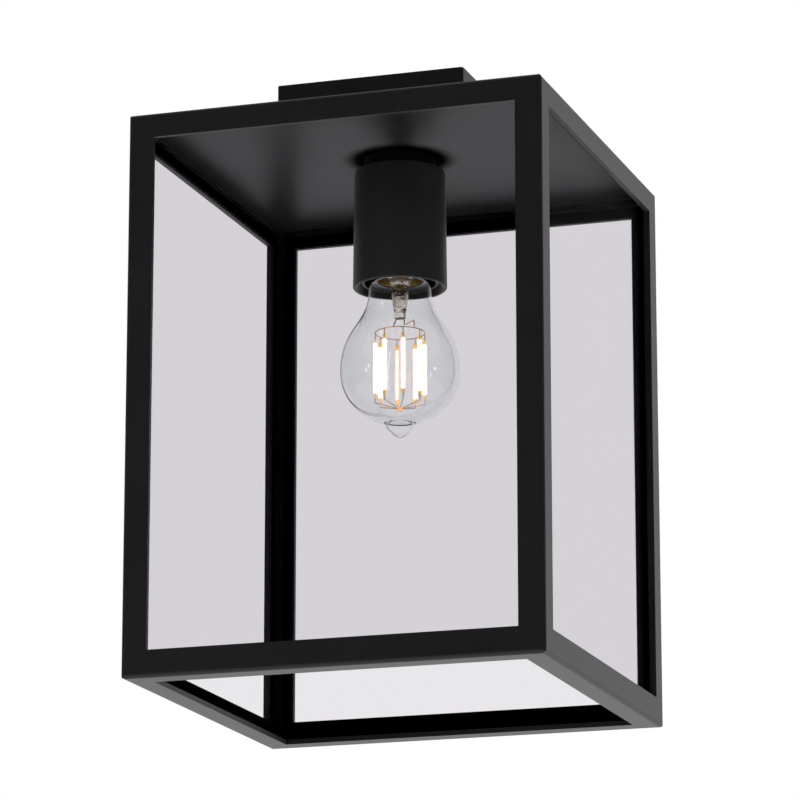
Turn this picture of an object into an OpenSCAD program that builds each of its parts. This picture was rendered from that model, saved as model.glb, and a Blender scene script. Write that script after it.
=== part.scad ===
// Porch ceiling lantern: a square black steel frame with four clear panes, open below.
// It hangs from a square canopy and holds one filament lamp in a plain round sleeve.
// Millimetres. The origin is the centre of the ceiling face, and everything hangs below it.
// The front is the -Y side, and +X is the right side seen from the front.

/* [Lantern frame] */
// Width and depth of the lantern over its frame
body_w = 210; // [180:1:300]
// Height of the lantern from the top of the frame to its underside
body_h = 280; // [220:1:420]
// Thickness of the steel section that the frame is made of
frame_t = 2.5; // [1.5:0.1:3.5]
// Width of each face of a corner post
post_face = 13; // [10:0.5:20]
// Height of the top rails
top_rail_h = 12.3; // [9:0.1:20]
// Height of the bottom rails
bottom_rail_h = 13.3; // [10:0.1:20]
// Width of the bottom rails' underside flange
bottom_flange_w = 12.6; // [8:0.1:18]
// Radius of the frame's outer edges
edge_r = 2; // [0.5:0.1:2.4]
// Thickness of the roof plate, let in flush between the top rails
roof_t = 2; // [1:0.1:3]

/* [Glazing] */
// Thickness of the glass panes
glass_t = 3; // [2:0.1:4]
// How far a pane laps behind the posts and the top rail
pane_lap = 6; // [4:0.1:8]
// Thickness of the black glazing tape between a pane and the frame
tape_t = 1; // [0.5:0.1:1.5]
// How far the tape keeps back from the edge of the frame that shows
tape_inset = 0.6; // [0.2:0.1:1.5]
// Space left under a pane, above the bottom flange that carries it
pane_rest_gap = 0.3; // [0.1:0.1:0.6]

/* [Canopy] */
// Width and depth of the square canopy
canopy_w = 97; // [90:1:120]
// Height of the canopy, from the ceiling to the roof plate
canopy_h = 27; // [25:1:45]
// Thickness of the canopy's sheet steel
canopy_t = 1.2; // [0.8:0.1:2]
// Radius of the canopy's upright edges
canopy_edge_r = 1.5; // [0.5:0.1:3]
// Diameter of the welded studs that hold the canopy to the roof plate
stud_d = 4; // [3:0.5:5]
// Distance from a stud's axis to the canopy's side
stud_inset = 13; // [11:0.5:16]
// Height of a stud above the roof plate
stud_h = 9; // [8:0.5:12]

/* [Ceiling bracket] */
// Width of the bracket strap
strap_w = 30; // [24:1:40]
// Thickness of the bracket strap
strap_t = 2; // [1.5:0.1:3]
// Height of the bracket's two ears
ear_h = 20; // [17:0.5:22]
// Width of the bracket's two ears
ear_w = 20; // [14:1:24]
// Distance between the centres of the two ceiling slots
slot_spacing = 60; // [54:1:62]
// Width of a ceiling slot
slot_w = 5; // [4:0.1:6]
// Length of a ceiling slot from end to end
slot_len = 14; // [10:0.5:16]
// Diameter of the cable hole in the middle of the strap
cable_hole_d = 14; // [8:0.5:18]
// Diameter of the side screws
side_screw_d = 4; // [3:0.5:5]
// Depth of the side screws' axis below the ceiling
side_screw_drop = 13; // [10:0.5:14]

/* [Lampholder] */
// Diameter of the threaded tube that carries the lampholder
nipple_d = 10; // [8:0.5:12]
// Diameter of the wire way through the threaded tube
nipple_bore_d = 7; // [5.5:0.1:7.4]
// Height of the spacer between the roof plate and the sleeve
spacer_h = 7; // [2:0.5:10]
// Diameter of the spacer
spacer_d = 36; // [24:1:42]
// Side room between the lampholder and the sleeve at its top
sleeve_room = 1.95; // [0.5:0.05:6]
// How much wider the sleeve is at its mouth than at its top
sleeve_flare = 1.3; // [0:0.1:6]
// How far the sleeve reaches below the lampholder
sleeve_overhang = 2.4; // [0:0.1:8]
// Thickness of the sleeve's wall
sleeve_t = 2; // [1:0.1:2.4]
// Diameter of the lampholder's outer shell
holder_d = 38; // [37:0.1:40]
// Height of the lampholder's cap, with the threaded entry
holder_cap_h = 20; // [19:0.5:22]
// Height of the lampholder's skirt
holder_skirt_h = 36; // [33:0.5:37]
// Depth of the wide mouth in the skirt
holder_mouth_depth = 8; // [6:0.5:9]
// Thickness of the lampholder's porcelain insert
insert_t = 7; // [6:0.5:9]
// How far the sprung contact can be pressed up from where the lamp holds it
contact_travel = 1; // [0.5:0.1:1.5]
// Diameter of the leads
lead_d = 2; // [1.5:0.1:2.2]

/* [Lamp] */
// Diameter of the lamp's glass globe
globe_d = 59.8; // [50:0.2:64]
// Distance from the rim of the cap down to the globe's centre
globe_drop = 45.6; // [42:0.2:52]
// How far the glass tip stands out below the round of the globe
tip_out = 5.7; // [4.5:0.1:8]
// Diameter of the lamp's neck below the cap
neck_d = 30.8; // [28:0.2:33]
// Thickness of the lamp's glass
lamp_glass_t = 0.8; // [0.5:0.1:1.2]
// Length of the lamp's cap, from the contact to the rim
cap_h = 27.5; // [26:0.5:29]
// Diameter of the cap's threaded shell
cap_d = 26.2; // [25.8:0.1:26.4]
// Diameter of the circle that the filaments stand on
filament_circle_d = 24.8; // [20:0.2:28]
// Length of a filament between its end tabs
filament_len = 25.8; // [20:0.2:30]
// Diameter of a filament
filament_d = 2; // [1:0.1:2.4]
// Number of filaments
filament_count = 8; // [4:1:10]
// Length of the tab at each end of a filament
tab_len = 2.7; // [1.5:0.1:4]
// Angle of the first filament, anticlockwise from the right, seen from above
filament_angle = 25.3; // [0:0.1:45]

/* [Clearances] */
// Side clearance of a screw, a stud or the threaded tube in its hole
hole_clearance = 0.25; // [0.1:0.05:0.4]
// Side clearance of a threaded part in its thread
thread_clearance = 0.05; // [0.02:0.01:0.1]
// Side clearance of the lamp's cap in the screw shell
lamp_clearance = 0.3; // [0.2:0.05:0.5]
// Gap between pieces that lie loosely side by side
fit_gap = 0.3; // [0.2:0.05:0.5]
// Side clearance of the sprung contact's stem in its bore
stem_clearance = 0.08; // [0.05:0.01:0.1]

/* [Hidden] */

$fn = 64;
SIDES = ["front", "right", "back", "left"];
CORNERS = ["front_left", "front_right", "back_right", "back_left"];

BLACK = "#1c1c1c";
ZINC = "#b9bcc0";
BRASS = "#c9a45a";
NICKEL = "#c4c4c0";
GLASS = "#d9e4e080";
PORCELAIN = "#efece4";
COPPER = "#b87a55";

// Extra length of a cutter past the face that it cuts
past = 1;

// Heights of the lantern, from the ceiling down
z_frame_top = -canopy_h;
z_roof_under = z_frame_top - roof_t;
z_body_bottom = z_frame_top - body_h;
z_top_rail_edge = z_frame_top - top_rail_h;
z_bottom_rail_edge = z_body_bottom + bottom_rail_h;
z_canopy_floor = z_frame_top + canopy_t;

// Glazing
tape_face = body_w / 2 - frame_t;
glass_face = tape_face - tape_t;
pane_half_w = body_w / 2 - post_face + pane_lap;
z_pane_top = z_top_rail_edge + min(pane_lap, top_rail_h - roof_t - fit_gap);
z_pane_bottom = z_body_bottom + frame_t + pane_rest_gap;

// Ceiling bracket and side screws
ear_gap = 0.4;
ear_face = canopy_w / 2 - canopy_t - ear_gap;
side_screw_head_d = 2 * side_screw_d;
side_screw_head_h = 0.65 * side_screw_d;
side_screw_reach = 3;
nut_h = 0.8 * stud_d;
nut_af = 1.75 * stud_d;

// Threaded tube and its fixings
tube_nut_af = 1.4 * nipple_d;
tube_nut_h = 5;
washer_d = 1.8 * nipple_d;
washer_t = 1;
tube_above_nut = 2;
tube_in_holder = 7;
z_tube_nut = z_canopy_floor + washer_t;
z_tube_top = z_tube_nut + tube_nut_h + tube_above_nut;

// Lampholder
sleeve_top_d = holder_d + 2 * (sleeve_t + sleeve_room);
sleeve_mouth_d = sleeve_top_d + sleeve_flare;
sleeve_h = sleeve_t + holder_cap_h + holder_skirt_h + sleeve_overhang;
z_sleeve_top = z_roof_under - spacer_h;
z_sleeve_mouth = z_sleeve_top - sleeve_h;
z_holder_top = z_sleeve_top - sleeve_t;
z_cap_foot = z_holder_top - holder_cap_h;
z_holder_mouth = z_cap_foot - holder_skirt_h;
z_tube_foot = z_holder_top - tube_in_holder;
entry_h = 8;
entry_r = nipple_d / 2 + 4;
cap_shoulder_h = 6;
holder_wall = 2.5;
collar_r = holder_d / 2 - holder_wall / 2;
collar_h = 4.5;
mouth_lip = 1.2;
insert_in_cap = 2;
insert_r = holder_d / 2 - holder_wall - fit_gap;
z_insert_top = z_cap_foot + insert_in_cap;
z_insert_under = z_insert_top - insert_t;
shell_t = 0.4;
shell_r = cap_d / 2 + lamp_clearance;
skirt_bore_r = shell_r + shell_t + fit_gap;
z_shell_foot = z_holder_mouth + holder_mouth_depth - 0.5;
terminal_x = 10;
terminal_size = 6;
terminal_h = 4.5;
strip_t = 0.4;
holder_screw_d = 3;
rivet_r = 1.2;
live_rivet_h = 4;

// Sprung centre contact
plunger_r = 3.8;
plunger_head_h = 2.4;
nose_below = 1.2;
stem_r = 1.5;
clip_r = 2.4;
clip_t = 0.5;
spring_wire_d = 0.5;
spring_r = 2.4;
spring_turns = 3;
spring_closed_h = (spring_turns + 1.6) * spring_wire_d;
recess_r = plunger_r + fit_gap;
recess_depth = plunger_head_h - nose_below + contact_travel + spring_closed_h;
z_plunger_nose = z_insert_under - nose_below;
z_plunger_shoulder = z_plunger_nose + plunger_head_h;
z_clip = z_insert_top + strip_t + fit_gap;
z_spring_seat = z_insert_under + recess_depth;

// Lamp, from its contact down
z_lamp_top = z_plunger_nose - fit_gap;
z_rim = z_lamp_top - cap_h;
lamp_contact_r = 4.8;
lamp_contact_t = 0.9;
insulator_h = 5.3;
cap_wall = 0.5;
cap_shoulder_drop = 1.5;
cap_groove = 0.4;
cap_groove_top = 3.2;
cap_groove_foot = 0.9;
cap_hold = 0.6;
z_insulator_top = z_lamp_top - lamp_contact_t - fit_gap;
z_insulator_foot = z_insulator_top - insulator_h;
seal_r = cap_d / 2 - cap_wall - cap_groove - 0.1;
seal_above_rim = 6;
z_seal = z_rim + seal_above_rim;
globe_r = globe_d / 2;
z_globe = z_rim - globe_drop;
neck_r = neck_d / 2;
shoulder_r = 2.6;
z_neck = z_rim - fit_gap - shoulder_r;
tip_r = 4;
tip_drop = globe_r + tip_out - tip_r;
tip_fillet_r = 5;
filament_ring_r = filament_circle_d / 2;
upper_ring_drop = 27.4;
z_upper_ring = z_rim - upper_ring_drop;
ring_to_tab = 2.9;
z_filament_top = z_upper_ring - ring_to_tab - tab_len;
z_filament_foot = z_filament_top - filament_len;
tab_to_star = 2.2;
z_star = z_filament_foot - tab_len - tab_to_star;
star_dish = 2.6;
z_bead = z_star - star_dish;
support_wire_d = 0.6;
drop_wire_d = 0.5;
bead_r = 1.5;
bead_gap = 0.02;
stem_wall = 0.8;
stem_r_top = 4.2;
stem_r_foot = 3.2;
stem_neck_drop = 9;
z_stem_neck = z_rim - stem_neck_drop;
stem_flare_h = 6;
stem_collar_h = 1.5;
stem_collar_t = 2.2;
pinch_drop = 20.4;
z_pinch = z_rim - pinch_drop;
pinch_t = 3.2;
pinch_h = 4;
pinch_chamfer = 0.4;
stem_blind_h = 5;

// ---------- shared shapes ----------

// What lies outside a quarter round of radius r on an upright edge at the origin
module edge_waste(r, h) {
  difference() {
    translate([-past, -past, 0])
      cube([r + past, r + past, h]);
    translate([r, r, -past])
      cylinder(r = r, h = h + 2 * past);
  }
}

// A square column of side w, its four upright edges rounded to radius r
module rounded_column(w, r, z0, z1) {
  difference() {
    translate([-w / 2, -w / 2, z0])
      cube([w, w, z1 - z0]);
    for (i = [0 : 3])
      rotate([0, 0, 90 * i])
        translate([-w / 2, -w / 2, z0 - past])
          edge_waste(r, z1 - z0 + 2 * past);
  }
}

// The quarter of the plan in front of the centre, cut to 45 degree mitres at the corners
module front_wedge(w, z0, z1) {
  translate([0, 0, z0])
    linear_extrude(height = z1 - z0)
      polygon([[0, 0], [-w, -w], [w, -w]]);
}

// A tube from z0 up to z1
module ring(r_out, r_in, z0, z1) {
  difference() {
    translate([0, 0, z0])
      cylinder(r = r_out, h = z1 - z0);
    translate([0, 0, z0 - past])
      cylinder(r = r_in, h = z1 - z0 + 2 * past);
  }
}

// A round bar of diameter d from point p to point q
module bar(p, q, d) {
  v = q - p;
  len = norm(v);
  translate(p)
    rotate([0, acos(v[2] / len), atan2(v[1], v[0])])
      cylinder(d = d, h = len, $fn = 24);
}

// A slotted pan-head screw along -Z, its head sitting on z = 0
module pan_screw(d, head_d, head_h, len) {
  dome_r = head_d * head_d / (8 * head_h) + head_h / 2;
  difference() {
    intersection() {
      cylinder(d = head_d, h = head_h);
      translate([0, 0, head_h - dome_r])
        sphere(r = dome_r);
    }
    translate([-head_d, -0.1 * head_d, 0.55 * head_h])
      cube([2 * head_d, 0.2 * head_d, head_h]);
  }
  translate([0, 0, -len])
    cylinder(d = d, h = len);
}

// ---------- functions ----------

// Points on an arc about c with radius r, from angle a0 to a1
function arc(c, r, a0, a1, n) =
  [for (i = [0 : n]) let (a = a0 + (a1 - a0) * i / n) c + r * [cos(a), sin(a)]];

// A cubic curve through p0 and p3, leaving along p1 and arriving along p2
function curve(p0, p1, p2, p3, n) =
  [for (i = [0 : n]) let (t = i / n, s = 1 - t)
    s * s * s * p0 + 3 * s * s * t * p1 + 3 * s * t * t * p2 + t * t * t * p3];

function unit(v) = v / norm(v);

// Direction of a path at its point i
function heading(path, i) =
  unit(path[min(i + 1, len(path) - 1)] - path[max(i - 1, 0)]);

// Side directions of a path, each turned as little as possible from the one before
function sides_of(path, i = 0, last = [0, 1, 0]) =
  let (t = heading(path, i), n = unit(last - (last * t) * t))
  i == len(path) - 1 ? [n] : concat([n], sides_of(path, i + 1, n));

// A round tube of diameter d along a path, closed at both ends
module swept_tube(path, d, k = 8, first_side = [0, 1, 0]) {
  n = len(path);
  side = sides_of(path, 0, first_side);
  points = [for (i = [0 : n - 1]) let (t = heading(path, i), u = side[i], v = cross(t, u))
    for (j = [0 : k - 1]) path[i] + d / 2 * (cos(360 * j / k) * u + sin(360 * j / k) * v)];
  walls = [for (i = [0 : n - 2]) for (j = [0 : k - 1]) let (m = (j + 1) % k)
    [i * k + j, (i + 1) * k + j, (i + 1) * k + m, i * k + m]];
  start_cap = [for (j = [0 : k - 1]) j];
  end_cap = [for (j = [k - 1 : -1 : 0]) (n - 1) * k + j];
  polyhedron(points = points, faces = concat([start_cap], walls, [end_cap]), convexity = 6);
}

// ---------- ceiling side ----------

// Strap with a turned-down ear at each end, slotted for the two ceiling screws
module ceiling_bracket() {
  color(ZINC)
    difference() {
      union() {
        translate([-ear_face, -strap_w / 2, -strap_t])
          cube([2 * ear_face, strap_w, strap_t]);
        for (side = [-1, 1])
          translate([side > 0 ? ear_face - strap_t : -ear_face, -ear_w / 2, -ear_h])
            cube([strap_t, ear_w, ear_h - strap_t]);
      }
      translate([0, 0, -strap_t - past])
        cylinder(d = cable_hole_d, h = strap_t + 2 * past);
      for (side = [-1, 1])
        translate([side * slot_spacing / 2, 0, -strap_t - past])
          ceiling_slot();
      for (side = [-1, 1])
        translate([side * (ear_face - strap_t / 2), 0, -side_screw_drop])
          rotate([0, 90, 0])
            cylinder(d = side_screw_d + 2 * thread_clearance, h = strap_t + 2 * past,
                     center = true);
    }
}

module ceiling_slot() {
  reach = (slot_len - slot_w) / 2;
  for (side = [-1, 1])
    translate([side * reach, 0, 0])
      cylinder(d = slot_w, h = strap_t + 2 * past);
  translate([-reach, -slot_w / 2, 0])
    cube([2 * reach, slot_w, strap_t + 2 * past]);
}

function stud_places() =
  let (a = canopy_w / 2 - stud_inset) [for (x = [-a, a]) for (y = [-a, a]) [x, y, 0]];

// Square box of folded sheet steel, open to the ceiling
module canopy() {
  inner = canopy_w - 2 * canopy_t;
  color(BLACK)
    difference() {
      rounded_column(canopy_w, canopy_edge_r, z_frame_top, 0);
      translate([-inner / 2, -inner / 2, z_canopy_floor])
        cube([inner, inner, canopy_h]);
      translate([0, 0, z_frame_top - past])
        cylinder(d = nipple_d + 2 * hole_clearance, h = canopy_t + 2 * past);
      for (place = stud_places())
        translate(place + [0, 0, z_frame_top - past])
          cylinder(d = stud_d + 2 * hole_clearance, h = canopy_t + 2 * past);
      translate([earth_place[0], earth_place[1], z_frame_top - past])
        cylinder(d = earth_screw_d + 2 * thread_clearance, h = canopy_t + 2 * past);
      translate([block_screw_place[0], block_screw_place[1], z_frame_top - past])
        cylinder(d = block_screw_d + 2 * thread_clearance, h = canopy_t + 2 * past);
      for (side = [-1, 1])
        translate([side * (canopy_w - canopy_t) / 2, 0, -side_screw_drop])
          rotate([0, 90, 0])
            cylinder(d = side_screw_d + 2 * hole_clearance, h = canopy_t + 2 * past,
                     center = true);
    }
}

module canopy_side_screws() {
  len = canopy_t + ear_gap + strap_t + side_screw_reach;
  color(BLACK)
    for (side = [-1, 1])
      translate([side * canopy_w / 2, 0, -side_screw_drop])
        rotate([0, side * 90, 0])
          pan_screw(side_screw_d, side_screw_head_d, side_screw_head_h, len);
}

module canopy_studs() {
  color(ZINC)
    for (place = stud_places())
      translate(place + [0, 0, z_frame_top])
        cylinder(d = stud_d, h = stud_h);
}

module canopy_stud_nuts() {
  color(ZINC)
    for (place = stud_places())
      translate(place + [0, 0, z_canopy_floor])
        difference() {
          union() {
            cylinder(d = nut_af * 1.35, h = 0.25 * nut_h);
            cylinder(d = nut_af / cos(30), h = nut_h, $fn = 6);
          }
          translate([0, 0, -past])
            cylinder(d = stud_d + 2 * thread_clearance, h = nut_h + 2 * past);
        }
}

// ---------- wiring in the canopy ----------

block_poles = 3;
pole_pitch = 10;
block_w = block_poles * pole_pitch;
block_d = 17;
block_h = 13;
block_back_gap = 12.3;
block_front = canopy_w / 2 - canopy_t - block_back_gap - block_d;
wire_way_h = 5.5;
wire_way_d = 3;
block_entry_depth = 4;
clamp_d = 3;
clamp_h = 4.5;
clamp_gap = lead_d / 2 + 0.1;
earth_screw_d = 4;
block_screw_d = 3;
screw_short = 0.2;
tag_t = 0.8;
tag_r = 4.2;
earth_place = [-27, 6];
block_screw_place = [pole_pitch / 2, block_front + block_d / 2];
z_wire_way = z_canopy_floor + wire_way_h;

// Three-pole terminal block, one wire way through each pole
module terminal_block() {
  color("#e6e4dc")
    difference() {
      translate([-block_w / 2, block_front, z_canopy_floor])
        cube([block_w, block_d, block_h]);
      for (i = [0 : block_poles - 1])
        translate([(i - (block_poles - 1) / 2) * pole_pitch, block_front - past, z_wire_way])
          rotate([-90, 0, 0])
            cylinder(d = wire_way_d, h = block_d + 2 * past);
      for (place = block_clamp_places())
        translate([place[0], place[1], z_wire_way])
          cylinder(d = clamp_d + 2 * fit_gap, h = block_h);
      for (i = [1 : block_poles - 1])
        translate([(i - block_poles / 2) * pole_pitch - 0.5, block_front - past,
                   z_canopy_floor + 0.75 * block_h])
          cube([1, block_d + 2 * past, block_h]);
      translate([block_screw_place[0], block_screw_place[1], z_canopy_floor - past])
        cylinder(d = block_screw_d + 2 * hole_clearance, h = block_h + 2 * past);
    }
}

function block_clamp_places() =
  [for (i = [0 : block_poles - 1]) for (f = [0.22, 0.78])
    [(i - (block_poles - 1) / 2) * pole_pitch, block_front + f * block_d]];

// Clamp screws over each wire way, and the screw that holds the block to the floor
module terminal_block_screws() {
  slot_w = 0.6;
  slot_depth = 0.8;
  color(BRASS)
    for (place = block_clamp_places())
      translate([place[0], place[1], z_wire_way + clamp_gap])
        difference() {
          cylinder(d = clamp_d, h = clamp_h);
          translate([-clamp_d, -slot_w / 2, clamp_h - slot_depth])
            cube([2 * clamp_d, slot_w, slot_depth + past]);
        }
  color(ZINC)
    translate([block_screw_place[0], block_screw_place[1], z_canopy_floor + block_h])
      pan_screw(block_screw_d, 1.7 * block_screw_d, 0.55 * block_screw_d,
                block_h + canopy_t - screw_short);
}

// Earth screw with the lead's ring tag under its head
module earth_screw() {
  color(BRASS)
    translate([earth_place[0], earth_place[1], z_canopy_floor + tag_t])
      pan_screw(earth_screw_d, 1.75 * earth_screw_d, 0.6 * earth_screw_d,
                tag_t + canopy_t - screw_short);
}

module earth_lead() {
  z_tag = z_canopy_floor + tag_t / 2;
  start = [earth_place[0], earth_place[1] + tag_r - 0.5, z_tag + lead_d / 2 - tag_t / 2];
  finish = [-pole_pitch, block_front + block_entry_depth, z_wire_way];
  color("#5d9c3a") {
    difference() {
      translate([earth_place[0], earth_place[1], z_canopy_floor])
        cylinder(r = tag_r, h = tag_t);
      translate([earth_place[0], earth_place[1], z_canopy_floor - past])
        cylinder(d = earth_screw_d + 2 * hole_clearance, h = tag_t + 2 * past);
    }
    swept_tube(curve(start, start + [0, 12, 5], finish + [0, -16, 0], finish, 20), lead_d,
               8, [1, 0, 0]);
  }
}

// A lead from its pole of the terminal block, through the threaded tube, to its terminal
module holder_lead(side) {
  lane = side * (lead_d / 2 + 0.3);
  z_terminal = z_insert_top + strip_t + terminal_h;
  from_block = [side > 0 ? pole_pitch : 0, block_front + block_entry_depth, z_wire_way];
  over = [lane, 0, z_tube_top + 1];
  leave = [lane, 0, z_tube_foot - 0.5];
  finish = [side * terminal_x, 0, z_terminal];
  drop = (leave[2] - finish[2]) * 0.75;
  path = concat(
    curve(from_block, from_block + [0, -14, 0], over + [0, 0, 9], over, 18),
    [leave],
    [for (p = curve(leave, leave - [0, 0, drop], finish + [0, 0, drop], finish, 14))
      if (p[2] < leave[2]) p]
  );
  swept_tube(path, lead_d, 8, [1, 0, 0]);
}

module live_lead() {
  color("#7a4a2a") holder_lead(1);
}

module neutral_lead() {
  color("#3a6aa8") holder_lead(-1);
}

// ---------- threaded tube ----------

module threaded_tube() {
  color(ZINC)
    ring(nipple_d / 2, nipple_bore_d / 2, z_tube_foot, z_tube_top);
}

module tube_nut() {
  color(ZINC)
    translate([0, 0, z_tube_nut])
      difference() {
        cylinder(d = tube_nut_af / cos(30), h = tube_nut_h, $fn = 6);
        translate([0, 0, -past])
          cylinder(r = nipple_d / 2 + thread_clearance, h = tube_nut_h + 2 * past);
      }
}

// Toothed washer under the nut
module tube_washer() {
  teeth = 12;
  color(ZINC)
    difference() {
      ring(washer_d / 2, nipple_d / 2 + hole_clearance, z_canopy_floor, z_tube_nut);
      for (i = [0 : teeth - 1])
        rotate([0, 0, 360 * i / teeth])
          translate([washer_d / 2 - 1.2, -0.5, z_canopy_floor - past])
            cube([3, 1, washer_t + 2 * past]);
    }
}

// ---------- frame ----------

// Roof plate, let in flush between the top rails
module roof_plate() {
  side = body_w - 2 * frame_t;
  color(BLACK)
    difference() {
      translate([-side / 2, -side / 2, z_roof_under])
        cube([side, side, roof_t]);
      translate([0, 0, z_roof_under - past])
        cylinder(d = nipple_d + 2 * hole_clearance, h = roof_t + 2 * past);
    }
}

// What lies outside the rounded long edge of a front rail, at height z
module long_edge_waste(z, upward) {
  translate([-body_w, -body_w / 2, z])
    mirror([0, 0, upward ? 1 : 0])
      rotate([90, 0, 90])
        edge_waste(edge_r, 2 * body_w);
}

// The rails and posts of one side are drawn at the front and turned to their side
module top_rail(i) {
  color(BLACK)
    rotate([0, 0, 90 * i])
      difference() {
        intersection() {
          translate([-body_w / 2, -body_w / 2, z_top_rail_edge])
            cube([body_w, frame_t, top_rail_h]);
          front_wedge(body_w, z_top_rail_edge, z_frame_top);
        }
        long_edge_waste(z_frame_top, true);
        corner_waste(z_top_rail_edge, z_frame_top);
      }
}

// Angle section: an upright leg outside and a flange below
module bottom_rail(i) {
  color(BLACK)
    rotate([0, 0, 90 * i])
      difference() {
        intersection() {
          union() {
            translate([-body_w / 2, -body_w / 2, z_body_bottom])
              cube([body_w, frame_t, bottom_rail_h]);
            translate([-body_w / 2, -body_w / 2 + frame_t, z_body_bottom])
              cube([body_w, bottom_flange_w - frame_t, frame_t]);
          }
          front_wedge(body_w, z_body_bottom, z_bottom_rail_edge);
        }
        long_edge_waste(z_body_bottom, false);
        corner_waste(z_body_bottom, z_bottom_rail_edge);
      }
}

// What lies outside the rounded upright edges at both ends of a front rail
module corner_waste(z0, z1) {
  for (turn = [0, 1])
    rotate([0, 0, 90 * turn])
      translate([-body_w / 2, -body_w / 2, z0 - past])
        edge_waste(edge_r, z1 - z0 + 2 * past);
}

// Angle-section corner post, drawn at the front left
module corner_post(i) {
  h = z_top_rail_edge - z_bottom_rail_edge;
  color(BLACK)
    rotate([0, 0, 90 * i])
      translate([-body_w / 2, -body_w / 2, z_bottom_rail_edge])
        difference() {
          cube([post_face, post_face, h]);
          translate([frame_t, frame_t, -past])
            cube([post_face, post_face, h + 2 * past]);
          translate([0, 0, -past])
            edge_waste(edge_r, h + 2 * past);
        }
}

// ---------- glazing ----------

// Glazing tape: a thin flat ring behind the frame, which the pane is pressed on to
module glazing_tape(i) {
  half_window = body_w / 2 - post_face + tape_inset;
  z_window_top = z_top_rail_edge + tape_inset;
  z_window_bottom = z_bottom_rail_edge - tape_inset;
  color("#0d0d0d")
    rotate([0, 0, 90 * i])
      difference() {
        translate([-pane_half_w, -tape_face, z_pane_bottom])
          cube([2 * pane_half_w, tape_t, z_pane_top - z_pane_bottom]);
        translate([-half_window, -tape_face - past, z_window_bottom])
          cube([2 * half_window, tape_t + 2 * past, z_window_top - z_window_bottom]);
      }
}

module glass_pane(i) {
  color(GLASS)
    rotate([0, 0, 90 * i])
      translate([-pane_half_w, -glass_face, z_pane_bottom])
        cube([2 * pane_half_w, glass_t, z_pane_top - z_pane_bottom]);
}

// ---------- lampholder ----------

module sleeve_spacer() {
  color(BLACK)
    ring(spacer_d / 2, nipple_d / 2 + hole_clearance, z_sleeve_top, z_roof_under);
}

// Slightly tapered cup over the lampholder, with a softly rounded lip at its mouth
module holder_sleeve() {
  r_top = sleeve_top_d / 2;
  r_mouth = sleeve_mouth_d / 2;
  lip = sleeve_t * 0.45;
  top_edge = 0.8;
  color(BLACK)
    rotate_extrude()
      polygon(concat(
        [[nipple_d / 2 + hole_clearance, z_sleeve_top]],
        arc([r_top - top_edge, z_sleeve_top - top_edge], top_edge, 90, 0, 5),
        arc([r_mouth - lip, z_sleeve_mouth + lip], lip, 0, -90, 5),
        arc([r_mouth - sleeve_t + lip, z_sleeve_mouth + lip], lip, -90, -180, 5),
        [[r_top - sleeve_t, z_sleeve_top - sleeve_t],
         [nipple_d / 2 + hole_clearance, z_sleeve_top - sleeve_t]]
      ));
}

// Cap of the lampholder: threaded entry, shoulder and a short skirt over the insert
module holder_cap() {
  r = holder_d / 2;
  r_in = r - holder_wall;
  z_ceiling = z_holder_top - entry_h;
  z_shoulder_top = z_holder_top - 0.5 * entry_h;
  z_shoulder_foot = z_shoulder_top - cap_shoulder_h;
  color(BLACK)
    rotate_extrude()
      polygon([
        [nipple_d / 2 + thread_clearance, z_holder_top],
        [entry_r, z_holder_top],
        [entry_r, z_shoulder_top],
        [r, z_shoulder_foot],
        [r, z_cap_foot],
        [collar_r + thread_clearance, z_cap_foot],
        [collar_r + thread_clearance, z_cap_foot + collar_h + fit_gap],
        [r_in, z_cap_foot + collar_h + fit_gap],
        [r_in, z_shoulder_foot - holder_wall],
        [entry_r, z_ceiling],
        [nipple_d / 2 + thread_clearance, z_ceiling]
      ]);
}

// Skirt of the lampholder: a collar that screws into the cap, the insert's seat,
// and a wide mouth with a thin lip
module holder_skirt() {
  r = holder_d / 2;
  r_in = r - holder_wall;
  z_mouth_step = z_holder_mouth + holder_mouth_depth;
  lip = mouth_lip / 2;
  color(BLACK)
    rotate_extrude()
      polygon(concat(
        [[r_in, z_cap_foot + collar_h],
         [collar_r, z_cap_foot + collar_h],
         [collar_r, z_cap_foot],
         [r, z_cap_foot]],
        arc([r - lip, z_holder_mouth + lip], lip, 0, -180, 8),
        [[r - mouth_lip, z_mouth_step],
         [skirt_bore_r, z_mouth_step],
         [skirt_bore_r, z_insert_under],
         [r_in, z_insert_under]]
      ));
}

// Porcelain insert that carries the terminals, the screw shell and the sprung contact
module holder_insert() {
  color(PORCELAIN)
    difference() {
      ring(insert_r, stem_r + stem_clearance, z_insert_under, z_insert_top);
      translate([0, 0, z_insert_under - past])
        cylinder(r = recess_r, h = recess_depth + past);
      translate([-terminal_x, 0, z_insert_under - past])
        cylinder(r = rivet_r + stem_clearance, h = insert_t + 2 * past);
      translate([terminal_x, 0, z_insert_top - live_rivet_h - fit_gap])
        cylinder(r = rivet_r + stem_clearance, h = live_rivet_h + fit_gap + past);
    }
}

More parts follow.
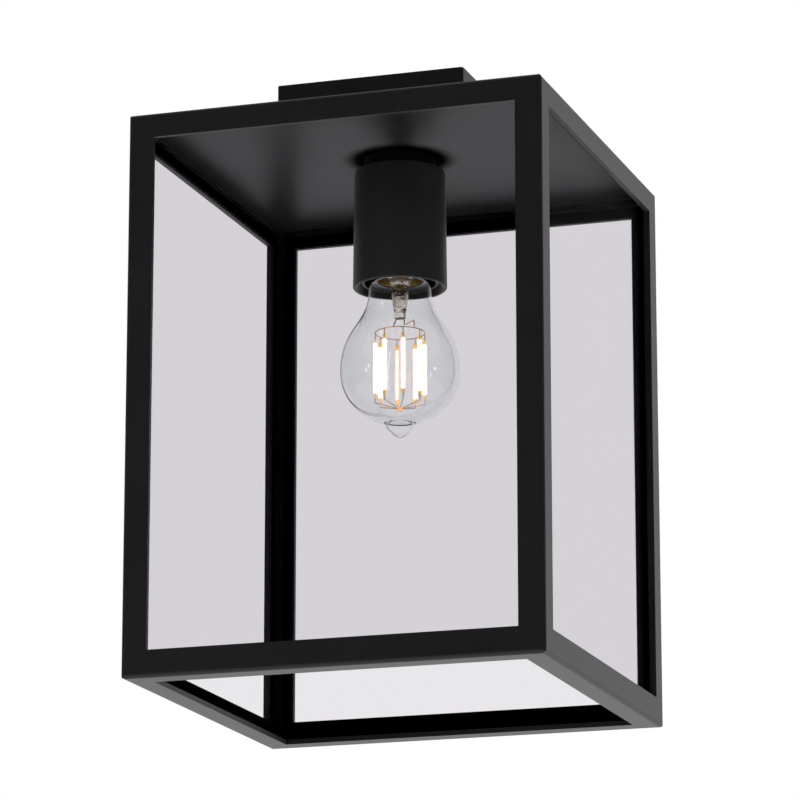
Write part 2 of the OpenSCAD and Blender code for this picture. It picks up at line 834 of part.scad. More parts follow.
// Brass terminals, each on its rivet. The neutral rivet reaches the screw shell's flange,
// and the live terminal has a strip round the contact's stem.
module holder_terminals() {
  size = terminal_size;
  color(BRASS)
    for (side = [-1, 1])
      difference() {
        union() {
          translate([side * terminal_x - size / 2, -size / 2, z_insert_top])
            cube([size, size, terminal_h + strip_t]);
          translate([side * terminal_x, 0, z_insert_top - rivet_h(side)])
            cylinder(r = rivet_r, h = rivet_h(side) + strip_t);
          if (side > 0)
            translate([0, -size / 2, z_insert_top])
              cube([terminal_x, size, strip_t]);
          if (side > 0)
            translate([0, 0, z_insert_top])
              cylinder(r = size / 2, h = strip_t);
        }
        if (side > 0)
          translate([0, 0, z_insert_top - past])
            cylinder(r = stem_r + hole_clearance, h = strip_t + 2 * past);
        translate([side * terminal_x, -size / 2, z_insert_top + 0.5 * terminal_h])
          rotate([90, 0, 0])
            cylinder(d = holder_screw_d + 2 * thread_clearance, h = 2 * size, center = true);
      }
}

function rivet_h(side) = side > 0 ? live_rivet_h : insert_t;

module holder_terminal_screws() {
  grip = 0.6 * terminal_size;
  color(BRASS)
    for (side = [-1, 1])
      translate([side * terminal_x, -terminal_size / 2, z_insert_top + 0.5 * terminal_h])
        rotate([90, 0, 0])
          pan_screw(holder_screw_d, 1.6 * holder_screw_d, 1.4, grip);
}

// Screw shell: a thin brass cup with its flange under the insert
module screw_shell() {
  flange_in = 9;
  color(BRASS) {
    ring(shell_r + shell_t, shell_r, z_shell_foot, z_insert_under);
    ring(shell_r + shell_t / 2, flange_in, z_insert_under - shell_t, z_insert_under);
  }
}

// Sprung centre contact: head with a rounded nose, stem, and retaining clip on top
module contact_plunger() {
  nose = 0.6;
  z_top = z_clip + clip_t;
  color(BRASS)
    rotate_extrude()
      polygon([
        [0, z_plunger_nose],
        [plunger_r - nose, z_plunger_nose],
        [plunger_r, z_plunger_nose + nose],
        [plunger_r, z_plunger_shoulder],
        [stem_r, z_plunger_shoulder],
        [stem_r, z_clip],
        [clip_r, z_clip],
        [clip_r, z_top],
        [0, z_top]
      ]);
}

module contact_spring() {
  steps = 12;
  low = z_plunger_shoulder + spring_wire_d / 2 + 0.05;
  high = z_spring_seat - spring_wire_d / 2 - 0.05;
  n = spring_turns * steps;
  path = [for (i = [0 : n]) let (a = 360 * i / steps)
    [spring_r * cos(a), spring_r * sin(a), low + (high - low) * i / n]];
  color(NICKEL)
    swept_tube(path, spring_wire_d, 6, [1, 0, 0]);
}

// ---------- lamp ----------

module lamp_contact() {
  color(NICKEL)
    rotate_extrude()
      polygon([
        [0, z_lamp_top],
        [0.55 * lamp_contact_r, z_lamp_top],
        [lamp_contact_r, z_lamp_top - 0.6 * lamp_contact_t],
        [lamp_contact_r, z_lamp_top - lamp_contact_t],
        [0, z_lamp_top - lamp_contact_t]
      ]);
}

// Black glass cone between the contact and the threaded shell
module lamp_insulator() {
  z_top = z_insulator_top;
  r_foot = cap_d / 2 - cap_wall - cap_hold;
  color("#16161a")
    rotate_extrude()
      polygon(concat(
        [[0, z_top], [lamp_contact_r + 0.6, z_top]],
        arc([r_foot, z_top], r_foot - lamp_contact_r - 2.4, 180, 230, 5),
        [[r_foot, z_insulator_foot + 0.8],
         [r_foot, z_insulator_foot],
         [0, z_insulator_foot]]
      ));
}

// Threaded brass shell, crimped in a shallow groove over its rim
module lamp_cap() {
  r = cap_d / 2;
  r_in = r - cap_wall;
  z_top = z_insulator_foot + 0.8;
  r_hold = r_in - cap_hold + thread_clearance;
  z_groove_top = z_rim + cap_groove_top;
  z_groove_foot = z_rim + cap_groove_foot;
  color(BRASS)
    rotate_extrude()
      polygon([
        [r_hold, z_top],
        [r_hold + cap_wall, z_top],
        [r, z_top - cap_shoulder_drop],
        [r, z_groove_top + cap_groove],
        [r - cap_groove, z_groove_top],
        [r - cap_groove, z_groove_foot],
        [r, z_rim],
        [r_in, z_rim],
        [r_in - cap_groove, z_groove_foot],
        [r_in - cap_groove, z_groove_top],
        [r_in, z_groove_top + cap_groove],
        [r_in, z_top - cap_shoulder_drop],
        [r_hold, z_insulator_foot - cap_hold]
      ]);
}

// Driver board that stands in the cap on the stem's collar
module lamp_driver() {
  board_w = 15;
  board_t = 1.2;
  z0 = z_seal + 0.3;
  z1 = z_insulator_foot - 0.3;
  color("#3d6b45")
    translate([-board_w / 2, -board_t / 2, z0])
      cube([board_w, board_t, z1 - z0]);
  color("#7b5a3a")
    translate([-3.5, board_t / 2, z0 + 2])
      cube([7, 5, 6]);
  color("#222222")
    translate([0, -board_t / 2, z0 + 6])
      rotate([90, 0, 0])
        cylinder(d = 5, h = 6);
}

// Centre of an arc of radius rho that runs into the neck and into the globe
function throat_radius() =
  let (dz = z_neck - z_globe)
  (neck_r * neck_r + dz * dz - globe_r * globe_r) / (2 * (globe_r - neck_r));

// Centre of the fillet between the globe and the tip, which lies below it on the axis
function tip_fillet_centre() =
  let (a = globe_r + tip_fillet_r, b = tip_r + tip_fillet_r,
       z = (tip_drop * tip_drop + a * a - b * b) / (2 * tip_drop))
  [sqrt(a * a - z * z), z_globe - z];

// Outline of the glass from the seal in the cap down to the tip, inset by t
function envelope_outline(t) =
  let (rho = throat_radius(),
       throat = [neck_r + rho, z_neck],
       globe = [0, z_globe],
       to_globe = atan2(globe[1] - throat[1], globe[0] - throat[0]),
       fillet = tip_fillet_centre(),
       tip = [0, z_globe - tip_drop],
       globe_to_fillet = atan2(fillet[1] - globe[1], fillet[0]),
       tip_to_fillet = atan2(fillet[1] - tip[1], fillet[0]))
  concat(
    [[seal_r - t, z_seal]],
    [[seal_r - t, z_neck + shoulder_r - t]],
    arc([neck_r - shoulder_r, z_neck], shoulder_r - t, 80, 0, 6),
    arc(throat, rho + t, 180, 360 + to_globe, 10),
    arc(globe, globe_r - t, to_globe + 180, globe_to_fillet, 20),
    arc(fillet, tip_fillet_r + t, globe_to_fillet + 180, tip_to_fillet + 180, 5),
    arc(tip, tip_r - t, tip_to_fillet, -90, 6)
  );

function reversed(list) = [for (i = [len(list) - 1 : -1 : 0]) list[i]];

// Hollow glass envelope with its exhaust tip
module lamp_envelope() {
  color(GLASS)
    rotate_extrude()
      polygon(concat(envelope_outline(0), reversed(envelope_outline(lamp_glass_t))));
}

// Glass stem: collar sealed in the neck, flare, tube and the flat pinch that holds the wires
module lamp_stem() {
  collar_r = seal_r - lamp_glass_t - 0.05;
  flare_top = [collar_r - stem_collar_h, z_seal - 2 * stem_collar_h];
  flare_turn = [stem_r_top + 1, z_seal - stem_collar_h - stem_collar_t];
  tube_top = [stem_r_top, z_stem_neck];
  pinch_r = stem_r_foot - pinch_chamfer;
  z_blind = z_pinch + stem_blind_h;
  color(GLASS) {
    rotate_extrude()
      polygon(concat(
        [[collar_r, z_seal], [collar_r, z_seal - stem_collar_h]],
        curve(flare_top, flare_turn, tube_top + [0, stem_flare_h], tube_top, 8),
        [[stem_r_foot, z_blind],
         [pinch_r, z_pinch + pinch_h - pinch_chamfer],
         [0, z_pinch + pinch_h - pinch_chamfer],
         [0, z_blind],
         [stem_r_foot - stem_wall, z_blind + 1],
         [stem_r_top - stem_wall, z_stem_neck],
         [stem_r_top - stem_wall, z_stem_neck + stem_flare_h],
         [collar_r - stem_collar_t, z_seal - stem_collar_h],
         [collar_r - stem_collar_t, z_seal]]
      ));
    intersection() {
      translate([0, 0, z_pinch])
        cylinder(r = pinch_r, h = pinch_h);
      translate([-stem_r_foot, -pinch_t / 2, z_pinch])
        cube([2 * stem_r_foot, pinch_t, pinch_h]);
    }
  }
}

ring_joint_a = 273;
ring_joint_b = 322;
wire_spread = 2.2;
wire_gap = 0.3;
wire_knee_h = 3.2;

// The two lead wires from the pinch to the upper ring, with a small weld bead at each bend
module lamp_lead_wires() {
  weld_d = 1.2 * support_wire_d;
  seat = z_upper_ring + (support_wire_d + weld_d) / 2 + 0.05;
  r = filament_ring_r;
  left_top = [-wire_spread, 0, z_pinch - wire_gap];
  left_foot = [r * cos(ring_joint_a), r * sin(ring_joint_a), seat];
  right_top = [wire_spread, 0, z_pinch - wire_gap];
  right_foot = [r * cos(ring_joint_b), r * sin(ring_joint_b), seat];
  right_knee = right_foot + [0, 0, wire_knee_h];
  right_bend = [wire_spread + 0.4, -0.4, seat + wire_knee_h];
  color(NICKEL) {
    bent_wire([left_top, left_foot], weld_d);
    bent_wire([right_top, right_bend, right_knee, right_foot], weld_d);
  }
}

// A wire through the given points, with a bead of diameter weld_d at each after the first
module bent_wire(points, weld_d) {
  for (i = [1 : len(points) - 1]) {
    bar(points[i - 1], points[i], support_wire_d);
    translate(points[i])
      sphere(d = weld_d, $fn = 24);
  }
}

function filament_place(i) =
  let (a = filament_angle + 360 * i / filament_count)
  [filament_ring_r * cos(a), filament_ring_r * sin(a), 0];

module wire_ring(z) {
  translate([0, 0, z])
    rotate_extrude()
      translate([filament_ring_r, 0])
        circle(d = support_wire_d, $fn = 24);
}

// Upper ring with a short, slightly thinner drop wire to each filament
module lamp_upper_ring() {
  color(NICKEL) {
    wire_ring(z_upper_ring);
    for (i = [0 : filament_count - 1])
      translate(filament_place(i) + [0, 0, z_upper_ring - ring_to_tab])
        cylinder(d = drop_wire_d, h = ring_to_tab, $fn = 24);
  }
}

module lamp_filaments() {
  color("#fff0d8")
    for (i = [0 : filament_count - 1])
      translate(filament_place(i) + [0, 0, z_filament_foot])
        cylinder(d = filament_d, h = filament_len, $fn = 24);
}

// Gilt tabs at both ends of every filament
module lamp_filament_tabs() {
  tab_w = 0.75 * filament_d;
  tab_t = 0.35 * filament_d;
  color("#d6b060")
    for (i = [0 : filament_count - 1])
      for (z = [z_filament_top, z_filament_foot - tab_len])
        translate(filament_place(i) + [0, 0, z])
          rotate([0, 0, filament_angle + 360 * i / filament_count])
            translate([-tab_t / 2, -tab_w / 2, 0])
              cube([tab_t, tab_w, tab_len]);
}

// Lower star: a wire from the foot of every filament in to the bead
module lamp_lower_star() {
  hub = [0, 0, z_bead];
  drop_h = z_filament_foot - tab_len - z_star;
  color(NICKEL)
    for (i = [0 : filament_count - 1]) {
      corner = filament_place(i) + [0, 0, z_star];
      translate(corner - [0, 0, support_wire_d / 2])
        cylinder(d = support_wire_d, h = drop_h + support_wire_d / 2, $fn = 24);
      bar(corner, hub + (bead_r + bead_gap) * unit(corner - hub), drop_wire_d);
    }
}

module lamp_bead() {
  color("#e0a860")
    translate([0, 0, z_bead])
      sphere(r = bead_r);
}

// ---------- assembly ----------

ceiling_bracket();
canopy();
canopy_side_screws();
canopy_studs();
canopy_stud_nuts();
earth_screw();
earth_lead();
terminal_block();
terminal_block_screws();
live_lead();
neutral_lead();
threaded_tube();
tube_nut();
tube_washer();
roof_plate();
for (i = [0 : 3]) {
  top_rail(i);
  corner_post(i);
  bottom_rail(i);
  glazing_tape(i);
  glass_pane(i);
}
sleeve_spacer();
holder_sleeve();
holder_cap();
holder_skirt();
holder_insert();
holder_terminals();
holder_terminal_screws();
screw_shell();
contact_plunger();
contact_spring();
lamp_contact();
lamp_insulator();
lamp_cap();
lamp_driver();
lamp_envelope();
lamp_stem();
lamp_lead_wires();
lamp_upper_ring();
lamp_filaments();
lamp_filament_tabs();
lamp_lower_star();
lamp_bead();
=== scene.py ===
import math

import bmesh
import bpy
from mathutils import Matrix, Vector


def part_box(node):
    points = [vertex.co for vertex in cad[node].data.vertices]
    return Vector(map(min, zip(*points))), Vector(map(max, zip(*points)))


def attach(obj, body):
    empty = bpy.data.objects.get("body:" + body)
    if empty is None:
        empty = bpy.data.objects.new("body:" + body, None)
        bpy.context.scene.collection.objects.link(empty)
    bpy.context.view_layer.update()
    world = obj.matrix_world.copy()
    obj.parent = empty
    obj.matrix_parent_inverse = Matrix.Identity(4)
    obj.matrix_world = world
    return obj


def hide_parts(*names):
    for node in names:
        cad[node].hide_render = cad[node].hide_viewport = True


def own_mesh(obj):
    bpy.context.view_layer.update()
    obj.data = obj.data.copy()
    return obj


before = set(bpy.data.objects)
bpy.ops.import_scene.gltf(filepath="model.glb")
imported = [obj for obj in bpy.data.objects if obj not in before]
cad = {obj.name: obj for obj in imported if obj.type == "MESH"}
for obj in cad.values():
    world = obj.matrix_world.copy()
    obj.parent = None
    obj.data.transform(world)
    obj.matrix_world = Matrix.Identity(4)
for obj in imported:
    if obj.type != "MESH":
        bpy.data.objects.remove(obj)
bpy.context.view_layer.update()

MM = 0.001

# ---- Studio ----
# The lantern is seen from a little below and to its right, against plain white. A bright
# backdrop stands behind it, the side where the camera stands is dark, and a pale floor lies
# well below.


def linear(hex_colour):
    """An sRGB hex value as Blender's linear colour."""
    parts = [int(hex_colour[i:i + 2], 16) / 255 for i in (1, 3, 5)]
    return tuple(p / 12.92 if p <= 0.04045 else ((p + 0.055) / 1.055) ** 2.4
                 for p in parts) + (1.0,)


def add(tree, kind, *inputs, **settings):
    """Adds a node with its settings. A kind in capitals is the operation of a Math node. The
    inputs come in order, or by name in a dictionary, and each is a value, a socket, or a node
    whose first output is taken."""
    made = tree.nodes.new("ShaderNodeMath" if kind.isupper() else kind)
    if kind.isupper():
        made.operation = kind
    for name, value in settings.items():
        setattr(made, name, value)
    by_name = inputs and isinstance(inputs[0], dict)
    for name, value in (inputs[0] if by_name else dict(enumerate(inputs))).items():
        socket = made.inputs[name]
        if isinstance(value, bpy.types.Node):
            value = value.outputs[0]
        if isinstance(value, bpy.types.NodeSocket):
            tree.links.new(value, socket)
        else:
            socket.default_value = value
    return made


camera_place = Vector((660.5, -1998.2, -687.9)) * MM
camera_forward = Vector((-0.30421, 0.92026, 0.24600))
camera_data = bpy.data.cameras.new("camera")
camera_data.lens = 196.55
camera_data.sensor_width = 36.0
camera_data.clip_start = 0.1
camera_data.clip_end = 60.0
camera = bpy.data.objects.new("camera", camera_data)
bpy.context.scene.collection.objects.link(camera)
camera.location = camera_place
camera.rotation_mode = "QUATERNION"
camera.rotation_quaternion = camera_forward.to_track_quat("-Z", "Y")
bpy.context.scene.camera = camera
bpy.context.scene.view_settings.view_transform = "Standard"
# light passes two panes, the globe twice and the stem, each with two faces
bpy.context.scene.cycles.max_bounces = 28
bpy.context.scene.cycles.transmission_bounces = 28
bpy.context.scene.cycles.transparent_max_bounces = 24

backdrop_way = Vector((-0.20, 0.95, -0.04)).normalized()
highlight_ways = ((-0.70, -0.70, 0.07), (0.999, 0.0, 0.0))
highlight_strength = 10.0
highlight_edge, highlight_core = (math.cos(math.radians(a)) for a in (3.6, 2.2))
world = bpy.data.worlds.new("white studio")
bpy.context.scene.world = world
world.use_nodes = True
world.cycles.sampling_method = "NONE"
sky = world.node_tree
sky.nodes.clear()
heading = add(sky, "ShaderNodeTexCoord").outputs["Generated"]
toward = add(sky, "ShaderNodeVectorMath", heading, tuple(backdrop_way), operation="DOT_PRODUCT")
lit_side = add(sky, "ShaderNodeMapRange", {
    "Value": toward.outputs["Value"], "From Min": 0.30, "From Max": 0.92,
    "To Min": 0.06, "To Max": 1.0}, interpolation_type="SMOOTHSTEP")
# a soft light overhead gives upward metal something pale to mirror
height = add(sky, "ShaderNodeSeparateXYZ", heading).outputs["Z"]
overhead = add(sky, "ShaderNodeMapRange", {
    "Value": height, "From Min": 0.62, "From Max": 0.9,
    "To Min": 0.0, "To Max": 0.45}, interpolation_type="SMOOTHSTEP")
# two small studio lamps, one on each side, only show as highlights on the lamp's glass
glossy_level = add(sky, "ADD", lit_side, overhead)
for way in highlight_ways:
    near = add(sky, "ShaderNodeVectorMath", heading, tuple(Vector(way).normalized()),
               operation="DOT_PRODUCT")
    glow = add(sky, "ShaderNodeMapRange", {
        "Value": near.outputs["Value"], "From Min": highlight_edge, "From Max": highlight_core,
        "To Min": 0.0, "To Max": highlight_strength}, interpolation_type="SMOOTHSTEP")
    glossy_level = add(sky, "ADD", glossy_level, glow)
underlight = add(sky, "ShaderNodeMapRange", {
    "Value": height, "From Min": -1.0, "From Max": 0.4,
    "To Min": 1.05, "To Max": 0.75}, interpolation_type="SMOOTHSTEP")
light_path = add(sky, "ShaderNodeLightPath").outputs
bounced = add(sky, "ADD", light_path["Glossy Depth"], light_path["Diffuse Depth"])
seen = add(sky, "LESS_THAN", bounced, 0.5)
matt = add(sky, "GREATER_THAN", light_path["Diffuse Depth"], 0.5)
white = (1.0, 1.0, 1.0, 1.0)
shown_white = add(sky, "ShaderNodeBackground", white, 1.0)
glossy_room = add(sky, "ShaderNodeBackground", white, glossy_level)
soft_fill = add(sky, "ShaderNodeBackground", white, underlight)
bounce_mix = add(sky, "ShaderNodeMixShader", matt, glossy_room, soft_fill)
add(sky, "ShaderNodeOutputWorld",
    add(sky, "ShaderNodeMixShader", seen, bounce_mix, shown_white))

floor_radius = 9.0
floor_height = -3.2
floor_mesh = bpy.data.meshes.new("floor")
floor_bm = bmesh.new()
bmesh.ops.create_circle(floor_bm, cap_ends=True, segments=96, radius=floor_radius,
                        matrix=Matrix.Translation((0, 0, floor_height)))
floor_bm.to_mesh(floor_mesh)
floor_bm.free()
floor = bpy.data.objects.new("floor", floor_mesh)
bpy.context.scene.collection.objects.link(floor)
floor_paint = bpy.data.materials.new("pale floor paint")
floor_paint.use_nodes = True
floor_tree = floor_paint.node_tree
floor_tree.nodes.clear()
floor_look = add(floor_tree, "ShaderNodeBsdfPrincipled", {
    "Base Color": linear("#F4F4F4"), "Roughness": 0.9, "Emission Color": white,
    "Emission Strength": 0.16})
add(floor_tree, "ShaderNodeOutputMaterial", floor_look)
floor_mesh.materials.append(floor_paint)

# ---- Ceiling bracket ----
# A slotted strap of 2 mm steel with two turned-down ears, screwed to the ceiling inside the
# canopy. It is pressed and then zinc plated.


def new_material(name):
    """A material with an empty node tree."""
    made = bpy.data.materials.new(name)
    made.use_nodes = True
    made.node_tree.nodes.clear()
    return made, made.node_tree


def cloudy(tree, size_mm, low, high):
    """Noise of a real size, spread from low to high: two hex colours or two numbers."""
    noise = add(tree, "ShaderNodeTexNoise", {
        "Vector": add(tree, "ShaderNodeTexCoord").outputs["Object"],
        "Scale": 1 / (size_mm * MM), "Detail": 2.5, "Roughness": 0.5})
    if isinstance(low, str):
        ramp = add(tree, "ShaderNodeValToRGB", noise)
        for stop, place, colour in zip(ramp.color_ramp.elements, (0.36, 0.66), (low, high)):
            stop.position = place
            stop.color = linear(colour)
        return ramp
    return add(tree, "ShaderNodeMapRange", noise, 0.3, 0.7, low, high)


def surface(tree, bump_mm=0.0, relief=None, **looks):
    """The Principled surface of a material, with its bump in real height."""
    inputs = {name.replace("_", " "): value for name, value in looks.items()}
    if relief is not None:
        inputs["Normal"] = add(tree, "ShaderNodeBump", {
            "Height": relief, "Strength": 0.6, "Distance": bump_mm * MM})
    made = add(tree, "ShaderNodeBsdfPrincipled", inputs)
    add(tree, "ShaderNodeOutputMaterial", made)
    return made


def clouded(name, relief, tone, rough, **looks):
    """A material of clouded relief, colour and roughness. Each is given as its size in mm, and
    then the relief's height in mm, two hex colours, or the lowest and highest roughness."""
    made, tree = new_material(name)
    size_mm, height_mm = relief
    surface(tree, height_mm, cloudy(tree, size_mm, 0.0, 1.0), Base_Color=cloudy(tree, *tone),
            Roughness=cloudy(tree, *rough), **looks)
    return made


def coat_node(name, material):
    """Puts a material on a CAD node in place of the one it came with."""
    mesh = cad[name].data
    mesh.materials.clear()
    mesh.materials.append(material)


# plating gives a pale, faintly clouded metal with a soft shine
zinc = clouded("bright zinc plating on steel", (0.4, 0.01), (5.0, "#A4A8AD", "#C4C6C9"),
               (1.2, 0.28, 0.42), Metallic=1.0)
coat_node("ceiling_bracket", zinc)

# ---- Canopy ----
# A square box of folded sheet steel that covers the bracket and carries the lantern. It is
# welded, ground smooth and sprayed in the satin black powder coat of the whole frame.


def powder(name, low, high, rough=0.46, ior=1.5, bloom=0.23):
    """A baked powder coat between two tones: it has a very fine orange peel, drawn a little
    coarser so that it shows, and a soft broad shine that grows pale at a glancing view."""
    peel_mm, grain_mm, drift_mm = 1.6, 0.35, 45.0
    made, tree = new_material(name)
    relief = add(tree, "ADD", cloudy(tree, peel_mm, 0.0, 1.0), cloudy(tree, grain_mm, 0.0, 0.6))
    coat = surface(tree, 0.012, relief, IOR=ior, Sheen_Weight=bloom, Sheen_Roughness=0.3,
                   Base_Color=cloudy(tree, drift_mm, low, high),
                   Roughness=cloudy(tree, grain_mm, rough, rough + 0.06))
    return made, coat


frame_tones = ("#0F0F10", "#131314")
powder_coat, _ = powder("satin black polyester powder coat on steel", *frame_tones)
coat_node("canopy", powder_coat)

# ---- Canopy side screws ----
# Two slotted pan-head screws hold the canopy to the bracket's ears. They are rolled steel
# with a black passivated finish.


def corners(node):
    """A CAD node's lowest and highest corner, in mm."""
    return [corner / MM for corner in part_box(node)]


def shown(name, mesh):
    """A new object in the scene."""
    made = bpy.data.objects.new(name, mesh)
    bpy.context.scene.collection.objects.link(made)
    return made


def points_mesh(name, points, edges=()):
    """A mesh of bare points and edges, from mm."""
    mesh = bpy.data.meshes.new(name)
    mesh.from_pydata([tuple(c * MM for c in p) for p in points], edges, [])
    return mesh


def smoothed(piece, sharp_degrees=32):
    """Welds the mesh, turns its faces outwards, and shades it smooth up to a sharp angle."""
    bm = bmesh.new()
    bm.from_mesh(piece.data)
    bmesh.ops.remove_doubles(bm, verts=bm.verts[:], dist=0.0005 * MM)
    bmesh.ops.dissolve_degenerate(bm, edges=bm.edges[:], dist=0.0002 * MM)
    bmesh.ops.recalc_face_normals(bm, faces=bm.faces[:])
    bm.to_mesh(piece.data)
    bm.free()
    piece.data.shade_smooth()
    piece.data.set_sharp_from_angle(angle=math.radians(sharp_degrees))
    return piece


def new_piece(name, bm, sharp_degrees=32):
    """A smoothed piece from mesh code, which is used up."""
    mesh = bpy.data.meshes.new(name)
    bm.to_mesh(mesh)
    bm.free()
    return smoothed(shown(name, mesh), sharp_degrees)


def apply_to(piece, modifier):
    """Makes the result of a modifier the piece's mesh."""
    finished = piece.evaluated_get(bpy.context.evaluated_depsgraph_get())
    result = bpy.data.meshes.new_from_object(finished)
    piece.modifiers.remove(modifier)
    piece.data = result


def grown(name, tree, values, mesh=None):
    """The piece that a node tree makes from its named values."""
    seed = shown(name, mesh or bpy.data.meshes.new(name))
    modifier = seed.modifiers.new(name, "NODES")
    modifier.node_group = tree
    for item in tree.interface.items_tree:
        if item.in_out == "INPUT" and item.name in values:
            modifier[item.identifier] = values[item.name]
    apply_to(seed, modifier)
    return seed


def turned(name, outline, steps=96, sharp_degrees=32):
    """A piece turned on the upright axis from its closed outline of (radius, height) in mm."""
    bm = bmesh.new()
    ring = [bm.verts.new((r * MM, 0, z * MM)) for r, z in outline]
    for a, b in zip(ring, ring[1:] + ring[:1]):
        if a.co.x > 0 or b.co.x > 0:
            bm.edges.new((a, b))
    bmesh.ops.spin(bm, geom=bm.verts[:] + bm.edges[:], cent=(0, 0, 0), axis=(0, 0, 1),
                   angle=math.tau, steps=steps, use_merge=True)
    return new_piece(name, bm, sharp_degrees)


def block(name, low, high, bevel_mm=0.0):
    """A block between two corners in mm, with its edges eased."""
    bm = bmesh.new()
    bmesh.ops.create_cube(bm, size=1.0)
    for vert in bm.verts:
        vert.co = [MM * (a + (b - a) * (c + 0.5)) for a, b, c in zip(low, high, vert.co)]
    if bevel_mm:
        bmesh.ops.bevel(bm, geom=bm.edges[:], offset=bevel_mm * MM, segments=3, profile=0.5,
                        affect="EDGES")
    return new_piece(name, bm)


def carved(piece, tool, operation="DIFFERENCE"):
    """The piece after one Boolean with a tool, which is used up."""
    modifier = piece.modifiers.new("cut", "BOOLEAN")
    modifier.object = tool
    modifier.operation = operation
    modifier.solver = "EXACT"
    apply_to(piece, modifier)
    bpy.data.objects.remove(tool)
    return smoothed(piece)


def joined(name, *pieces):
    """One piece from several."""
    bm = bmesh.new()
    for piece in pieces:
        bm.from_mesh(piece.data)
        bpy.data.objects.remove(piece)
    return new_piece(name, bm)


def settle(piece, material, body, slot, *nodes):
    """Gives a piece its material and body, and lets it stand for its CAD nodes. The slot is not
    used.
    """
    piece.data.materials.clear()
    piece.data.materials.append(material)
    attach(piece, body)
    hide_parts(*nodes)


def new_tree(name, *sizes):
    """A node tree with the named inputs, and those inputs' sockets."""
    kinds = {"Geometry": "NodeSocketGeometry", "Member": "NodeSocketObject",
             "Material": "NodeSocketMaterial", "Around": "NodeSocketInt",
             "Rows": "NodeSocketInt"}
    tree = bpy.data.node_groups.new(name, "GeometryNodeTree")
    for size in sizes:
        tree.interface.new_socket(size, in_out="INPUT",
                                  socket_type=kinds.get(size, "NodeSocketFloat"))
    tree.interface.new_socket("Geometry", in_out="OUTPUT", socket_type="NodeSocketGeometry")
    return tree, tree.nodes.new("NodeGroupInput").outputs


def end_tree(tree, geometry, material):
    """Ends a tree in plain geometry with its material."""
    plain = add(tree, "GeometryNodeRealizeInstances", geometry)
    painted = add(tree, "GeometryNodeSetMaterial", {"Geometry": plain, "Material": material})
    add(tree, "NodeGroupOutput", painted)


def thread_tree(name, hollow):
    """Winds a right-hand thread with rounded crests round the upright axis: a solid bar, or a
    wall whose bore is plain or follows the thread."""
    tree, given = new_tree(name, "Top", "Foot", "Crest Radius", "Root Radius", "Pitch",
                           "Runout", "Wall", "Bore Radius", "Around", "Rows", "Material")
    # a flat grid gives each point its share of the way round and its row
    columns = add(tree, "ADD", given["Around"], 1.0)
    lines = add(tree, "ADD", given["Rows"], 1.0)
    grid = add(tree, "GeometryNodeMeshGrid", 1.0, 1.0, columns, lines)
    position = add(tree, "GeometryNodeInputPosition")
    share = add(tree, "ShaderNodeSeparateXYZ", add(
        tree, "ShaderNodeVectorMath", position, (0.5, 0.5, 0.0), operation="ADD")).outputs
    counted = add(tree, "MULTIPLY", share["Y"], given["Rows"])
    row = add(tree, "ROUND", counted)
    looped = add(tree, "MODULO", row, given["Rows"])
    if hollow:
        # the first half of the rows goes down outside, and the second comes back up inside
        half = add(tree, "MULTIPLY_ADD", given["Rows"], 0.5, -0.5)
        past_half = add(tree, "SUBTRACT", looped, half)
        inside = add(tree, "GREATER_THAN", past_half, 0.0)
        away = add(tree, "ABSOLUTE", past_half)
        done = add(tree, "SUBTRACT", half, away)
        span = add(tree, "SUBTRACT", half, 0.5)
    else:
        # the first and last rows close the ends on the axis
        done = add(tree, "SUBTRACT", row, 1.0)
        span = add(tree, "SUBTRACT", given["Rows"], 2.0)
        off_axis = add(tree, "GREATER_THAN", looped, 0.5)
    drop = add(tree, "DIVIDE", done, span, use_clamp=True)
    height = add(tree, "ShaderNodeMapRange", drop, 0.0, 1.0, given["Top"], given["Foot"])
    turns = add(tree, "DIVIDE", height, given["Pitch"])
    phase = add(tree, "SUBTRACT", turns, share["X"])
    wave = add(tree, "COSINE", add(tree, "MULTIPLY", phase, math.tau))
    # the thread fades out over its runout at both ends
    from_top = add(tree, "SUBTRACT", given["Top"], height)
    from_foot = add(tree, "SUBTRACT", height, given["Foot"])
    to_end = add(tree, "MINIMUM", from_top, from_foot)
    full = add(tree, "ShaderNodeMapRange", to_end, 0.0, given["Runout"], 0.0, 0.5,
               interpolation_type="SMOOTHSTEP")
    rise = add(tree, "MULTIPLY_ADD", wave, full, full)
    depth = add(tree, "SUBTRACT", given["Crest Radius"], given["Root Radius"])
    radius = add(tree, "MULTIPLY_ADD", rise, depth, given["Root Radius"])
    if hollow:
        following = add(tree, "SUBTRACT", radius, given["Wall"])
        bore = add(tree, "MAXIMUM", following, given["Bore Radius"])
        step = add(tree, "SUBTRACT", bore, radius)
        radius = add(tree, "MULTIPLY_ADD", inside, step, radius)
    else:
        radius = add(tree, "MULTIPLY", radius, off_axis)
    angle = add(tree, "MULTIPLY", share["X"], math.tau)
    across = add(tree, "MULTIPLY", add(tree, "COSINE", angle), radius)
    along = add(tree, "MULTIPLY", add(tree, "SINE", angle), radius)
    spot = add(tree, "ShaderNodeCombineXYZ", across, along, height)
    wound = add(tree, "GeometryNodeSetPosition", {"Geometry": grid, "Position": spot})
    welded = add(tree, "GeometryNodeMergeByDistance", {
        "Geometry": wound, "Distance": 0.001 * MM})
    end_tree(tree, welded, given["Material"])
    return tree


threaded_bar = thread_tree("threaded bar", False)
threaded_wall = thread_tree("threaded wall", True)


def wound_thread(name, tree, material, around, rows, **sizes):
    """The thread that a tree winds, from its sizes in mm."""
    values = {size.replace("_", " ").title(): value * MM for size, value in sizes.items()}
    values.update({"Around": around, "Rows": rows, "Material": material})
    return smoothed(grown(name, tree, values), 60)


